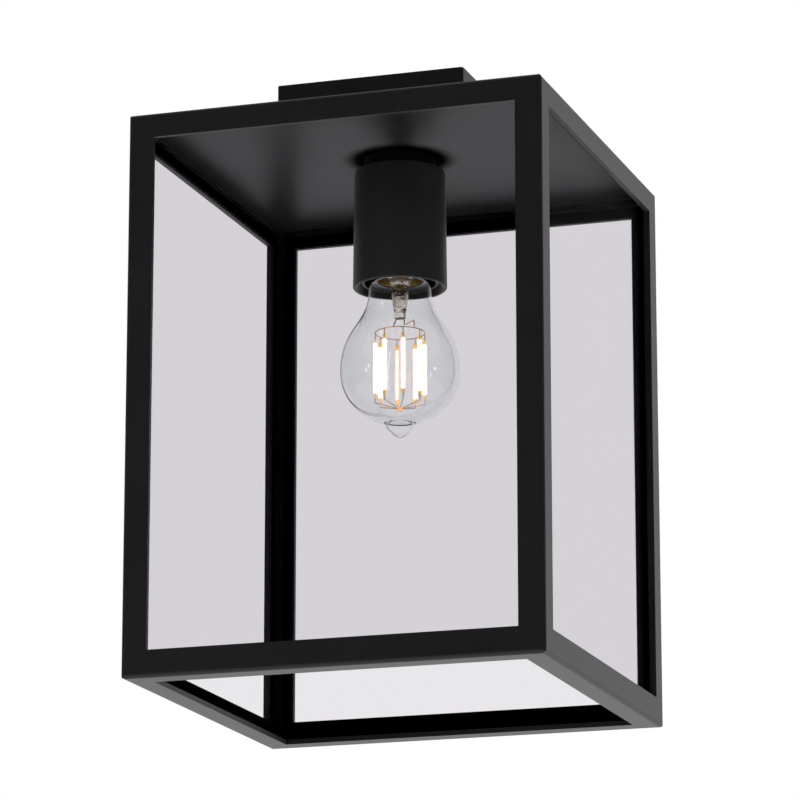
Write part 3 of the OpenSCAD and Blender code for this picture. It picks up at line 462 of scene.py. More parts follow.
def bar_thread(name, top, foot, crest_r, root_r, pitch, material):
    """A threaded bar between two heights, in mm."""
    rows_a_turn = 8
    rows = max(12, round((top - foot) / pitch * rows_a_turn))
    return wound_thread(name, threaded_bar, material, 32, rows, top=top, foot=foot,
                        crest_radius=crest_r, root_radius=root_r, pitch=pitch, runout=pitch)


def slotted_screw(name, material, radius, length, head_r, head_h, pitch):
    """A slotted pan-head screw along the upright axis, its head sitting on height 0, in mm."""
    dome = [(head_r * math.cos(a) ** 0.5, head_h * (0.25 + 0.75 * math.sin(a) ** 0.8))
            for a in (math.radians(10 * i) for i in range(9))]
    under_ease = 0.15
    outline = [(0, 0), (head_r - under_ease, 0), (head_r, under_ease)] + dome + [(0, head_h)]
    reach, half, slot_foot = 1.2 * head_r, 0.11 * head_r, 0.5 * head_h
    cutter = block("slot_cutter", (-reach, -half, slot_foot), (reach, half, 3 * slot_foot))
    head = carved(turned(name + "_head", outline, 48), cutter)
    into_head, root_r = 0.05, 0.82 * radius
    shank = bar_thread(name + "_shank", into_head, -length, radius, root_r, pitch, material)
    return joined(name, head, shank)


# sets a copy of a member on each point, turned about the upright axis to face outwards if asked
in_place, given = new_tree("set in place", "Geometry", "Member", "Turn Outwards", "Material")
member = add(in_place, "GeometryNodeObjectInfo", {"Object": given["Member"]})
spot = add(in_place, "ShaderNodeSeparateXYZ", add(in_place, "GeometryNodeInputPosition")).outputs
outwards = add(in_place, "ARCTAN2", spot["Y"], spot["X"])
facing = add(in_place, "MULTIPLY", outwards, given["Turn Outwards"])
copies = add(in_place, "GeometryNodeInstanceOnPoints", {
    "Points": given["Geometry"], "Instance": member.outputs["Geometry"],
    "Rotation": add(in_place, "ShaderNodeCombineXYZ", 0.0, 0.0, facing)})
end_tree(in_place, copies, given["Material"])


def placed(name, member, places, material, outwards=False):
    """One piece made of a copy of the member at each place in mm. The member is used up."""
    piece = grown(name, in_place, {
        "Member": member, "Turn Outwards": 1.0 if outwards else 0.0, "Material": material},
        points_mesh(name, places))
    bpy.data.objects.remove(member)
    return smoothed(piece)


# the black film leaves the rolled head's fine turning marks just visible
black_zinc = clouded("black passivated zinc on a steel screw", (0.3, 0.006),
                     (2.5, "#161719", "#26272A"), (0.8, 0.34, 0.46), Metallic=0.55)
side_screw_drop = 13
canopy_half = corners("canopy")[1].x
side_screw = slotted_screw("side_screw", black_zinc, radius=2, length=6.6, head_r=4,
                           head_h=2.6, pitch=0.7)
side_screw.data.transform(Matrix.Rotation(math.radians(90), 4, "Y"))
side_screws = placed("canopy_side_screws_detailed", side_screw, [
    (x, 0, -side_screw_drop) for x in (canopy_half, -canopy_half)], black_zinc, outwards=True)
settle(side_screws, black_zinc, "fixture", "black_zinc_screw", "canopy_side_screws")

# ---- Studs and nuts ----
# Four M4 studs are welded to the roof plate. They come up through the canopy's floor, where
# flanged hexagon nuts clamp it down. Both are zinc plated.

stud_r = 2
stud_root_r = 0.84 * stud_r
stud_pitch = 0.7
studs_low, studs_high = corners("canopy_studs")
stud_reach = studs_high.x - stud_r
stud_places = [(x, y, 0) for x in (-stud_reach, stud_reach) for y in (-stud_reach, stud_reach)]
stud = bar_thread("stud", studs_high.z, studs_low.z, stud_r, stud_root_r, stud_pitch, zinc)
settle(placed("canopy_studs_threaded", stud, stud_places, zinc), zinc, "fixture",
       "zinc_plated_steel", "canopy_studs")


def hexagon_nut(name, across_flats, seat, height, bore_r, flange_r=0.0, flange_h=0.0):
    """A hexagon nut with turned chamfers, standing on a height in mm."""
    flat_r = across_flats / 2
    corner_r = across_flats / math.sqrt(3)
    top = seat + height
    chamfer_z = top - (corner_r - flat_r) * 0.6 - 0.58
    wall_t = 0.5
    prism = turned(name, [(bore_r, seat), (corner_r, seat), (corner_r, top), (bore_r, top)],
                   steps=6)
    round_blank = turned("nut_blank", [
        (0, seat - 1), (corner_r + 1, seat - 1), (corner_r + 1, chamfer_z),
        (flat_r * 0.96, top), (0, top)], steps=64)
    nut = carved(prism, round_blank, "INTERSECT")
    bore_wall = turned("nut_bore", [
        (bore_r, seat), (bore_r + wall_t, seat), (bore_r + wall_t, top - 0.02),
        (bore_r, top - 0.3)], steps=48)
    drill_r = bore_r + 0.2
    bored = carved(nut, turned("nut_drill", [
        (0, seat - 1), (drill_r, seat - 1), (drill_r, top + 1), (0, top + 1)], steps=48))
    parts = [bored, bore_wall]
    if flange_r:
        slope_z = seat + flange_h * 1.5
        parts.append(turned("nut_flange", [
            (bore_r, seat), (flange_r, seat), (flange_r, seat + flange_h * 0.5),
            (corner_r, slope_z), (bore_r, slope_z)], steps=64))
    return joined(name, *parts)


nuts_low, nuts_high = corners("canopy_stud_nuts")
stud_nut = hexagon_nut("stud_nut", across_flats=7, seat=nuts_low.z,
                       height=nuts_high.z - nuts_low.z, bore_r=stud_r + 0.05, flange_r=4.7,
                       flange_h=0.8)
settle(placed("canopy_stud_nuts_chamfered", stud_nut, stud_places, zinc), zinc, "fixture",
       "zinc_plated_steel", "canopy_stud_nuts")

# ---- Earth screw and earth lead ----
# The canopy is earthed by a brass screw through a crimped ring tag. The lead is green and
# yellow PVC over stranded copper, and it runs to the terminal block.


def cubic(p0, p1, p2, p3, count):
    """Points on a cubic curve that leaves p0 towards p1 and reaches p3 from p2."""
    points = []
    for i in range(count + 1):
        t = i / count
        s = 1 - t
        points.append(tuple(s ** 3 * a + 3 * s * s * t * b + 3 * s * t * t * c + t ** 3 * d
                            for a, b, c, d in zip(p0, p1, p2, p3)))
    return points


# draws a round wire along a line, with eased bends, and keeps each point's share of the way round
drawn_wire, given = new_tree("drawn wire", "Geometry", "Radius", "Bend Radius", "Around",
                             "Material")
line = add(drawn_wire, "GeometryNodeMeshToCurve", {"Mesh": given["Geometry"]})
eased = add(drawn_wire, "GeometryNodeFilletCurve", {
    "Curve": line, "Radius": given["Bend Radius"], "Limit Radius": True, "Count": 5},
    mode="POLY")
circle = add(drawn_wire, "GeometryNodeCurvePrimitiveCircle", {
    "Resolution": given["Around"], "Radius": given["Radius"]}, mode="RADIUS")
point_number = add(drawn_wire, "GeometryNodeInputIndex")
share_round = add(drawn_wire, "DIVIDE", point_number, given["Around"])
marked = add(drawn_wire, "GeometryNodeStoreNamedAttribute", {
    "Geometry": circle, "Name": "round_share", "Value": share_round}, data_type="FLOAT",
    domain="POINT")
tube = add(drawn_wire, "GeometryNodeCurveToMesh", {
    "Curve": eased, "Profile Curve": marked, "Fill Caps": True})
end_tree(drawn_wire, tube, given["Material"])


def wire(name, points, radius_mm, material, bend_mm=0.0, around=16, closed=False):
    """A round wire along the points, in mm."""
    last = len(points) - 1
    steps = [(i, i + 1) for i in range(last)] + ([(last, 0)] if closed else [])
    return smoothed(grown(name, drawn_wire, {
        "Radius": radius_mm * MM, "Bend Radius": bend_mm * MM, "Around": around,
        "Material": material}, points_mesh(name, points, steps)), 50)


# drawn brass dulls to a soft gold, with fine turning marks drawn coarse enough to show
brass = clouded("drawn brass, slightly dulled", (0.35, 0.008), (4.0, "#C09A50", "#DEBE7C"),
                (0.9, 0.24, 0.38), Metallic=1.0)
# green PVC with one yellow stripe along it
earth_pvc, tree = new_material("green and yellow PVC insulation")
stripe_at = add(tree, "ShaderNodeAttribute", attribute_name="round_share").outputs["Fac"]
from_stripe = add(tree, "ABSOLUTE", add(tree, "SUBTRACT", stripe_at, 0.5))
stripe_half = 0.18
stripe = add(tree, "LESS_THAN", from_stripe, stripe_half)
earth_colour = add(tree, "ShaderNodeMix", {
    "Factor": stripe, "A": linear("#3F8A2E"), "B": linear("#D9C531")}, data_type="RGBA")
surface(tree, 0.01, cloudy(tree, 0.6, 0.0, 1.0), Base_Color=earth_colour.outputs["Result"],
        Roughness=cloudy(tree, 2.0, 0.38, 0.48))

canopy_t = 1.2
canopy_floor = studs_low.z + canopy_t
tag_t = 0.8
tag_r = 4.2
lead_r = 1.0
earth_screw_r = 2.0
earth_x, earth_y = -27, 6
earth_screw = slotted_screw("earth_screw", brass, radius=earth_screw_r, length=1.8, head_r=3.5,
                            head_h=2.4, pitch=stud_pitch)
earth_screw_place = (earth_x, earth_y, canopy_floor + tag_t)
settle(placed("earth_screw_slotted", earth_screw, [earth_screw_place], brass), brass, "fixture",
       "brass", "earth_screw")
tag_bore_r = earth_screw_r + 0.25
tag = turned("tag", [(tag_bore_r, canopy_floor), (tag_r, canopy_floor),
                     (tag_r, canopy_floor + tag_t), (tag_bore_r, canopy_floor + tag_t)], 64)
tag.data.transform(Matrix.Translation((earth_x * MM, earth_y * MM, 0)))
# tin is paler than zinc, with a dull even shine
tinned = clouded("tin plating on copper", (0.5, 0.006), (3.0, "#B4B2AC", "#CFCDC8"),
                 (0.8, 0.26, 0.4), Metallic=1.0)
block_low, block_high = corners("terminal_block")
wire_way_z = canopy_floor + 5.5
pole_pitch = 10
entry_y = block_low.y + 4
crimp_y, crimp_z = earth_y + tag_r - 0.5, canopy_floor + lead_r
# the lead leaves the tag level, lifts, and comes straight into its pole
leave_by, lift_by, enter_by = 12, 5, 16
earth_route = cubic(
    (earth_x, crimp_y, crimp_z), (earth_x, crimp_y + leave_by, crimp_z + lift_by),
    (-pole_pitch, entry_y - enter_by, wire_way_z), (-pole_pitch, entry_y, wire_way_z), 28)
settle(wire("earth_lead_striped", earth_route, lead_r, earth_pvc, around=20), earth_pvc,
       "fixture", "earth_insulation", "earth_lead")
settle(joined("earth_ring_tag", tag), tinned, "fixture", "earth_insulation", "earth_lead")

# ---- Terminal block ----
# A three-pole block moulded in milky nylon, screwed to the canopy's floor. Each pole has a
# brass sleeve with two slotted clamp screws.

# nylon lets a little light in, and its moulded skin is softly grained
nylon = clouded("moulded white nylon", (0.7, 0.02), (6.0, "#DEDCD2", "#EAE8E0"),
                (1.5, 0.42, 0.54), Subsurface_Weight=0.15, Subsurface_Scale=0.002)
coat_node("terminal_block", nylon)
block_depth = block_high.y - block_low.y
clamp_length = 4.3
clamp_r, clamp_root_r, clamp_pitch = 1.5, 1.3, 0.5
slot_half, slot_depth = 0.3, 0.8
clamp_top = wire_way_z + lead_r + 0.1 + clamp_length
clamp = bar_thread("clamp", 0, -clamp_length, clamp_r, clamp_root_r, clamp_pitch, brass)
clamp = carved(clamp, block("clamp_slot", (-2, -slot_half, -slot_depth), (2, slot_half, 0.5)))
clamp_places = [(pole_pitch * pole, block_low.y + share * block_depth, clamp_top)
                for pole in (-1, 0, 1) for share in (0.22, 0.78)]
settle(placed("terminal_clamp_screws", clamp, clamp_places, brass), brass, "fixture", "brass",
       "terminal_block_screws")
fixing = slotted_screw("fixing", zinc, radius=1.5, length=14, head_r=2.55, head_h=1.6,
                       pitch=clamp_pitch)
fixing_place = (pole_pitch / 2, block_low.y + block_depth / 2, block_high.z)
settle(placed("terminal_block_fixing_screw", fixing, [fixing_place], zinc), zinc, "fixture",
       "zinc_plated_steel", "terminal_block_screws")

# ---- Live and neutral leads ----
# Two stranded leads run from the terminal block over the threaded tube and down through it
# to the lampholder's terminals. Their insulation is extruded PVC, brown and blue.

tube_low, tube_high = corners("threaded_tube")
insert_low, insert_high = corners("holder_insert")
terminal_x = 10
terminal_top = insert_high.z + 4.9
# each lead leaves its pole level, arches over the tube's rim, and spreads again below it
leave_by, arch_by, drop_share = 14, 9, 0.75
# extruded PVC has an even, slightly soft sheen
for side, node, name, tones in (
        (1, "live_lead", "brown PVC insulation", ("#5A3219", "#6E4024")),
        (-1, "neutral_lead", "blue PVC insulation", ("#2B5590", "#38669F"))):
    colour = clouded(name, (0.6, 0.008), (5.0, *tones), (2.0, 0.36, 0.46))
    lane = side * (lead_r + 0.3)
    start = (pole_pitch if side > 0 else 0, entry_y, wire_way_z)
    over = (lane, 0, tube_high.z + 1)
    leave = (lane, 0, tube_low.z - 0.5)
    end = (side * terminal_x, 0, terminal_top)
    drop = (leave[2] - end[2]) * drop_share
    route = cubic(start, (start[0], start[1] - leave_by, start[2]),
                  (lane, 0, over[2] + arch_by), over, 26)
    route += cubic(leave, (lane, 0, leave[2] - drop), (end[0], 0, end[2] + drop), end, 20)
    lead = wire(node + "_smooth", route, lead_r, colour, around=20)
    settle(lead, colour, "fixture", node.replace("lead", "insulation"), node)

# ---- Threaded tube, nut and washer ----
# The lampholder hangs on an M10 tube of zinc-plated steel. It passes the sleeve, the spacer,
# the roof and the canopy's floor, and is held there by a toothed washer and a hexagon nut.

tube_r, tube_root_r, tube_bore_r = 5, 4.55, 3.5
tube_pitch = 1.0
tube_rows = round((tube_high.z - tube_low.z) / tube_pitch * 16)
# the wall is given more than it has, so that the bore stays plain
tube_piece = wound_thread(
    "threaded_tube_rolled", threaded_wall, zinc, 48, tube_rows, top=tube_high.z,
    foot=tube_low.z, crest_radius=tube_r, root_radius=tube_root_r, pitch=tube_pitch,
    runout=tube_pitch, wall=2 * tube_r, bore_radius=tube_bore_r)
settle(tube_piece, zinc, "fixture", "zinc_plated_steel", "threaded_tube")
tube_nut = hexagon_nut("tube_nut_chamfered", across_flats=14, seat=corners("tube_nut")[0].z,
                       height=5, bore_r=tube_r + 0.05)
settle(tube_nut, zinc, "fixture", "zinc_plated_steel", "tube_nut")
coat_node("tube_washer", zinc)

# ---- Roof plate, rails and posts ----
# The frame is welded from mild steel: flat top rails round a flush roof plate, angle posts
# and angle bottom rails. The joints are ground flush before the powder coat.

sides = ["front", "right", "back", "left"]
frame_corners = ["front_left", "front_right", "back_right", "back_left"]
# almost no light gets into the gap between the plate and the sleeve, and that shade is painted:
# round the sleeve the coat is mixed into a painted dark bluish shade over the last few millimetres
gap_inner_r, gap_outer_r = 21, 31
roof_coat, coat = powder("smooth black powder coat on the roof plate", *frame_tones, rough=0.34,
                         ior=1.28, bloom=0.24)
tree = roof_coat.node_tree
spot = add(tree, "ShaderNodeSeparateXYZ", add(tree, "ShaderNodeTexCoord").outputs["Object"]).outputs
from_axis = add(tree, "ShaderNodeVectorMath", add(
    tree, "ShaderNodeCombineXYZ", spot["X"], spot["Y"]), operation="LENGTH").outputs["Value"]
gap_shade = add(tree, "ShaderNodeMapRange", from_axis, gap_inner_r * MM, gap_outer_r * MM,
                1.0, 0.0, interpolation_type="SMOOTHSTEP")
# the painted shade round the sleeve, a dark bluish diffuse
painted_gap_shade = add(tree, "ShaderNodeBsdfDiffuse", linear("#0A0A10"))
coat_with_painted_shade = add(tree, "ShaderNodeMixShader", gap_shade, coat, painted_gap_shade)
tree.links.new(coat_with_painted_shade.outputs[0], tree.nodes["Material Output"].inputs["Surface"])
coat_node("roof_plate", roof_coat)
for side, corner in zip(sides, frame_corners):
    for bar in ("top_rail_" + side, "post_" + corner, "bottom_rail_" + side):
        coat_node(bar, powder_coat)

# ---- Glazing tape and panes ----
# Four panes of 3 mm clear float glass stand on the bottom flanges, pressed on rings of black
# foam tape behind the frame. Their edges are ground.

# closed-cell foam is matt, with cells about half a millimetre wide
cell_mm = 0.5
foam_tape, tree = new_material("black closed-cell foam tape")
cells = add(tree, "ShaderNodeTexVoronoi", {
    "Vector": add(tree, "ShaderNodeTexCoord").outputs["Object"], "Scale": 1 / (cell_mm * MM)})
surface(tree, 0.08, cells, Base_Color=cloudy(tree, 2.0, "#0B0B0B", "#151515"), Roughness=0.95)

# float glass dims what is behind it by a fifth here, and only its ground edges are pale and
# matt; its reflections are almost lost against white, so its IOR is low
pane_low, pane_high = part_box("glass_pane_front")
ground = 0.05 * MM
float_glass, tree = new_material("clear float glass with ground edges")
spot = add(tree, "ShaderNodeSeparateXYZ", add(tree, "ShaderNodeTexCoord").outputs["Object"]).outputs
across, along = (add(tree, "ABSOLUTE", spot[way]) for way in "XY")
sideways = add(tree, "MINIMUM", across, along)
side_edge = add(tree, "GREATER_THAN", sideways, pane_high.x - ground)
top_edge = add(tree, "GREATER_THAN", spot["Z"], pane_high.z - ground)
low_edge = add(tree, "LESS_THAN", spot["Z"], pane_low.z + ground)
level_edge = add(tree, "MAXIMUM", top_edge, low_edge)
edge = add(tree, "MAXIMUM", side_edge, level_edge)
tint = add(tree, "ShaderNodeMix", {
    "Factor": edge, "A": linear("#E9E7EA"), "B": linear("#B9CFC6")}, data_type="RGBA")
matt_edge = add(tree, "MULTIPLY", edge, 0.55)
surface(tree, Base_Color=tint.outputs["Result"], Roughness=matt_edge, IOR=1.01,
        Transmission_Weight=1.0)
for side in sides:
    coat_node("glazing_tape_" + side, foam_tape)
    coat_node("glass_pane_" + side, float_glass)

# ---- Spacer and sleeve ----
# A turned black ring spaces the sleeve off the roof plate, and its colour is darkened further as
# painted shade. The sleeve is a spun steel cup, slightly tapered, with a rolled lip at its mouth,
# and is powder coated.


def arc(centre, radius, start, end, count):
    """Points on an arc, angles in degrees."""
    turn = [math.radians(start + (end - start) * i / count) for i in range(count + 1)]
    return [(centre[0] + radius * math.cos(a), centre[1] + radius * math.sin(a)) for a in turn]


spacer_low, spacer_high = corners("sleeve_spacer")
tube_hole_r = tube_r + 0.25
ease = 0.4
spacer = turned("sleeve_spacer_turned", [
    (tube_hole_r, spacer_low.z),
    *arc((spacer_high.x - ease, spacer_low.z + ease), ease, -90, 0, 4),
    *arc((spacer_high.x - ease, spacer_high.z - ease), ease, 0, 90, 4),
    (tube_hole_r, spacer_high.z)])
# the ring is black, and its colour is darkened to near black as painted shade, so that it is lost
# in its shadow gap
spacer_painted_shade = clouded("flat black spacer ring darkened as painted shade", (0.5, 0.01),
                     (6.0, "#030304", "#060607"), (1.0, 0.8, 0.9), IOR=1.3)
settle(spacer, spacer_painted_shade, "fixture", "black_powder_coat", "sleeve_spacer")
spacer.visible_glossy = False

sleeve_low, sleeve_high = corners("holder_sleeve")
sleeve_t = 2
sleeve_flare = 1.3
mouth_r = sleeve_high.x
top_r = mouth_r - sleeve_flare / 2
lip = 0.45 * sleeve_t
shoulder = 0.8
lip_z = sleeve_low.z + lip
# painted light: the sleeve has the frame's coat in a lighter grey, standing for light falling on it
# inside the lantern
sleeve_coat_painted_lighter, _ = powder("satin black powder coat on the sleeve painted lighter", "#2A2A2B", "#2E2E2F")
sleeve = turned("holder_sleeve_spun", [
    (tube_hole_r, sleeve_high.z),
    *arc((top_r - shoulder, sleeve_high.z - shoulder), shoulder, 90, 0, 8),
    *arc((mouth_r - lip, lip_z), lip, 0, -90, 8),
    *arc((mouth_r - sleeve_t + lip, lip_z), lip, -90, -180, 8),
    (top_r - sleeve_t, sleeve_high.z - sleeve_t), (tube_hole_r, sleeve_high.z - sleeve_t)], 160)
settle(sleeve, sleeve_coat_painted_lighter, "fixture", "black_powder_coat", "holder_sleeve")
# the roof plate mirrors the rails and posts here, but not the sleeve or its spacer
sleeve.visible_glossy = False

# ---- Lampholder ----
# A two-part holder moulded in black thermoset: the cap screws on the tube, and the skirt
# screws into the cap. It clamps a porcelain insert with brass terminals between them.

# thermoset leaves the mould dense and black, with a low, slightly uneven sheen
thermoset = clouded("moulded black thermoset", (1.2, 0.01), (8.0, "#121212", "#1A1A1A"),
                    (3.0, 0.36, 0.5))
coat_node("holder_cap", thermoset)

skirt_low, skirt_high = corners("holder_skirt")
skirt_r = skirt_high.x
cap_foot = corners("holder_cap")[0].z
neck_in_r = skirt_r - 2.5
collar_out_r = skirt_r - 1.25
shell_room_r = 14.1
lip = 0.6
mouth_in_r = skirt_r - 2 * lip
step_z = skirt_low.z + 8
step_ease = 0.4
# the collar's thread is left to its cylinder, because the cap hides it
skirt = turned("holder_skirt_moulded", [
    (neck_in_r, skirt_high.z), (collar_out_r - 0.1, skirt_high.z),
    (collar_out_r, skirt_high.z - 0.2), (collar_out_r, cap_foot), (skirt_r - 0.2, cap_foot),
    (skirt_r, cap_foot - 0.2), *arc((skirt_r - lip, skirt_low.z + lip), lip, 0, -180, 12),
    (mouth_in_r, step_z - step_ease), (mouth_in_r - step_ease, step_z),
    (shell_room_r + 0.3, step_z), (shell_room_r, step_z + 0.3), (shell_room_r, insert_low.z),
    (neck_in_r, insert_low.z)], 128)
settle(skirt, thermoset, "fixture", "black_thermoset", "holder_skirt")

# unglazed porcelain is a warm white with faint iron specks
porcelain, tree = new_material("unglazed white porcelain")
speck_noise = add(tree, "ShaderNodeTexNoise", {
    "Vector": add(tree, "ShaderNodeTexCoord").outputs["Object"], "Scale": 1 / (0.9 * MM),
    "Detail": 4.0})
specks = add(tree, "ShaderNodeMapRange", speck_noise, 0.66, 0.72)
china = add(tree, "ShaderNodeMix", {
    "Factor": specks, "A": linear("#ECE7DA"), "B": linear("#A08F74")}, data_type="RGBA")
surface(tree, 0.02, cloudy(tree, 0.5, 0.0, 1.0), Base_Color=china.outputs["Result"],
        Roughness=cloudy(tree, 2.0, 0.5, 0.66))
coat_node("holder_insert", porcelain)
coat_node("holder_terminals", brass)
terminal_screw = slotted_screw("terminal_screw", brass, radius=1.5, length=3.6, head_r=2.4,
                               head_h=1.36, pitch=clamp_pitch)
terminal_screw.data.transform(Matrix.Rotation(math.radians(90), 4, "X"))
terminal_face_y = -3
screw_z = insert_high.z + 2.25
terminal_screws = placed("holder_terminal_screws_slotted", terminal_screw, [
    (x, terminal_face_y, screw_z) for x in (terminal_x, -terminal_x)], brass)
settle(terminal_screws, brass, "fixture", "brass", "holder_terminal_screws")

# ---- Screw shell and sprung contact ----
# The shell is thin brass rolled with the round lamp thread, and a flange holds it under the
# insert. The centre contact is a brass plunger on a wire spring.

lamp_pitch = 3.629
thread_depth = 0.95
thread_runout = 0.8
shell_low, shell_high = corners("screw_shell")
shell_r = shell_high.x
shell_root_r = shell_r - thread_depth
shell_top = insert_low.z
shell_wall = 0.4
flange_in_r = 9
shell = wound_thread(
    "shell_thread", threaded_wall, brass, 128, 240, top=shell_top - shell_wall,
    foot=shell_low.z, crest_radius=shell_r, root_radius=shell_root_r, pitch=lamp_pitch,
    runout=thread_runout, wall=shell_wall, bore_radius=0.0)
flange = turned("shell_flange", [
    (flange_in_r, shell_top), (flange_in_r, shell_top - shell_wall),
    (shell_root_r, shell_top - shell_wall), (shell_r - 0.2, shell_top)], 128)
settle(joined("screw_shell_rolled", shell, flange), brass, "fixture", "brass", "screw_shell")
coat_node("contact_plunger", brass)

# bright spring wire shows drawing lines along it, here as a fine noise
spring_steel = clouded("bright spring wire", (0.25, 0.004), (1.5, "#9A9A9C", "#B8B8BA"),
                       (0.5, 0.24, 0.34), Metallic=1.0)
spring_low, spring_high = corners("contact_spring")
spring_height = spring_high.z - spring_low.z
spring_wire_r = 0.25
spring_r = 2.4
spring_steps = 24
spring_count = 3 * spring_steps
coil = []
for i in range(spring_count + 1):
    a = math.tau * i / spring_steps
    rise = (spring_height - 2 * spring_wire_r) * i / spring_count
    coil.append((spring_r * math.cos(a), spring_r * math.sin(a),
                 spring_low.z + spring_wire_r + rise))
spring = wire("contact_spring_wound", coil, spring_wire_r, spring_steel, around=12)
settle(spring, spring_steel, "fixture", "spring_steel", "contact_spring")
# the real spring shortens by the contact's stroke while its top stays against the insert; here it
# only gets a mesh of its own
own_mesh(spring)

# ---- Lamp cap ----
# The lamp's contact plate is tinned and sits in black glass. The brass shell below it is
# rolled with the round lamp thread and crimped over the neck.

contact_low, contact_high = corners("lamp_contact")
contact_r = contact_high.x
# solder leaves a low dome in the middle of the plate
plate = turned("lamp_contact_soldered", [
    (0, contact_high.z), (1.3, contact_high.z - 0.12), (1.6, contact_high.z - 0.3),
    (0.72 * contact_r, contact_high.z - 0.36), (contact_r, contact_low.z + 0.3),
    (contact_r, contact_low.z), (0, contact_low.z)], 64, 50)
settle(plate, tinned, "lamp_centre", "tin_plated_contact", "lamp_contact")

# black glass is pressed hot, so it is glossy with faint ripples
vitrite = clouded("pressed black glass", (2.5, 0.03), (4.0, "#0A0A0C", "#131217"),
                  (1.5, 0.06, 0.14), IOR=1.6)
insulator_low, insulator_high = corners("lamp_insulator")
insulator_r = insulator_high.x
hollow_r = insulator_r - contact_r - 2.4
insulator = turned("lamp_insulator_pressed", [
    (0, insulator_high.z), (contact_r + 0.6, insulator_high.z),
    *arc((insulator_r, insulator_high.z), hollow_r, 182, 230, 8),
    (insulator_r - 0.2, insulator_low.z + 1.0), (insulator_r, insulator_low.z + 0.8),
    (insulator_r, insulator_low.z), (0, insulator_low.z)], 96)
settle(insulator, vitrite, "lamp", "black_glass", "lamp_insulator")

cap_low, cap_high = corners("lamp_cap")
cap_r = cap_high.x
cap_wall = 0.5
cap_in_r = cap_r - cap_wall
rim = cap_low.z
thread_top = cap_high.z - 1.7
thread_foot = rim + 6.2
root_r = cap_r - thread_depth
cap_thread = wound_thread(
    "cap_thread", threaded_wall, brass, 128, 180, top=thread_top, foot=thread_foot,
    crest_radius=cap_r, root_radius=root_r, pitch=lamp_pitch, runout=thread_runout,
    wall=cap_wall, bore_radius=0.0)
cap_shoulder = turned("cap_shoulder", [
    (root_r, thread_top), (root_r + 0.1, thread_top + 0.8), (root_r - 0.1, cap_high.z - 0.1),
    (root_r - 0.6, cap_high.z), (root_r - 0.6, cap_high.z - 0.45),
    (root_r - cap_wall, thread_top)], 128)
groove = 0.4
groove_low, groove_high = rim + 0.9, rim + 3.2
skirt_top = thread_foot - 1.2
cap_skirt = turned("cap_skirt", [
    (root_r, thread_foot), (root_r + 0.35, thread_foot - 0.6), (cap_r, skirt_top),
    (cap_r, groove_high + 0.4), (cap_r - groove, groove_high), (cap_r - groove, groove_low),
    (cap_r, rim + 0.25), (cap_r - 0.1, rim), (cap_in_r, rim), (cap_in_r - groove, groove_low),
    (cap_in_r - groove, groove_high), (cap_in_r, groove_high + 0.4), (cap_in_r, skirt_top),
    (root_r - 0.15, thread_foot - 0.6), (root_r - cap_wall, thread_foot)], 128)
settle(joined("lamp_cap_threaded", cap_thread, cap_shoulder, cap_skirt), brass, "lamp", "brass",
       "lamp_cap")

# ---- Driver board ----
# A narrow board stands in the cap, with a smoothing capacitor, a film capacitor and small
# surface-mounted parts. It feeds the filaments through the stem's wires.

# solder mask is a smooth translucent green lacquer
solder_mask = clouded("green solder mask on fibreglass board", (0.5, 0.006),
                      (1.6, "#2E5A38", "#44724C"), (1.0, 0.3, 0.42))
# shrunk sleeve is an even satin black
can_sleeve = clouded("black shrink sleeve on a capacitor", (0.6, 0.01),
                     (2.0, "#1B1B1D", "#29292C"), (1.0, 0.34, 0.44))
# dipped epoxy is glossy and a little uneven
dipped = clouded("brown epoxy dip on a film capacitor", (1.0, 0.03),
                 (2.0, "#74533A", "#8C674A"), (1.0, 0.26, 0.4))
board_low, board_high = corners("lamp_driver")
board_x = board_high.x
face_y = 1.2 / 2
board = block("driver_board", (-board_x, -face_y, board_low.z), (board_x, face_y, board_high.z),
              0.08)
settle(board, solder_mask, "lamp", "circuit_board", "lamp_driver")
chip_x, chip_t, chip_z = 0.8, 0.5, 0.5
chip = block("chip", (-chip_x, -face_y - chip_t, -chip_z), (chip_x, -face_y, chip_z), 0.08)
chip_places = [(x, 0, board_low.z + h) for x, h in (
    (-5.2, 2), (-5.2, 4), (5.2, 2), (5.2, 4), (4.8, 12))]
can_r, can_h = 2.5, 6
can = turned("driver_can", [
    (0, 0), (2.2, 0), (can_r, 0.3), (can_r, 4.8), (can_r - 0.2, 5.2), (can_r, 5.5),
    (can_r, can_h - 0.2), (can_r - 0.2, can_h), (0, can_h)], 48)
can_place = Matrix.Translation((0, -face_y * MM, (board_low.z + 6) * MM))
can.data.transform(can_place @ Matrix.Rotation(math.radians(90), 4, "X"))
chips = placed("chips", chip, chip_places, can_sleeve)
settle(joined("driver_black_parts", can, chips), can_sleeve, "lamp", "circuit_board",
       "lamp_driver")
film_x, film_t, film_low, film_high = 3.5, 5, board_low.z + 2, board_low.z + 8
film = block("driver_film_capacitor", (-film_x, face_y, film_low),
             (film_x, face_y + film_t, film_high), 0.9)
settle(film, dipped, "lamp", "circuit_board", "lamp_driver")

# ---- Lamp glass ----
# The globe is blown in clear glass, sealed to the stem at its neck, and its exhaust tip is
# melted off below. The wall is less than a millimetre thick.

# thin clear glass: a bright edge, almost no colour
blown_glass, tree = new_material("clear blown soda glass")
surface(tree, Base_Color=cloudy(tree, 30.0, "#FBFEFD", "#FEFFFF"), Roughness=0.0, IOR=1.36,
        Transmission_Weight=1.0)

glass_t = 0.8
globe_low, globe_high = corners("lamp_envelope")
widest_r = 29.8
widest_z = rim - 47.3
neck_r = 15.4
neck_shoulder_r = 2.6
neck_z = rim - 0.3 - neck_shoulder_r
seal_r = cap_in_r - groove - 0.1
seal_z = globe_high.z
tip_z = globe_low.z
tip_base = (7.2, tip_z + 7.5)
cone_foot = (4.0, tip_z + 2.2)


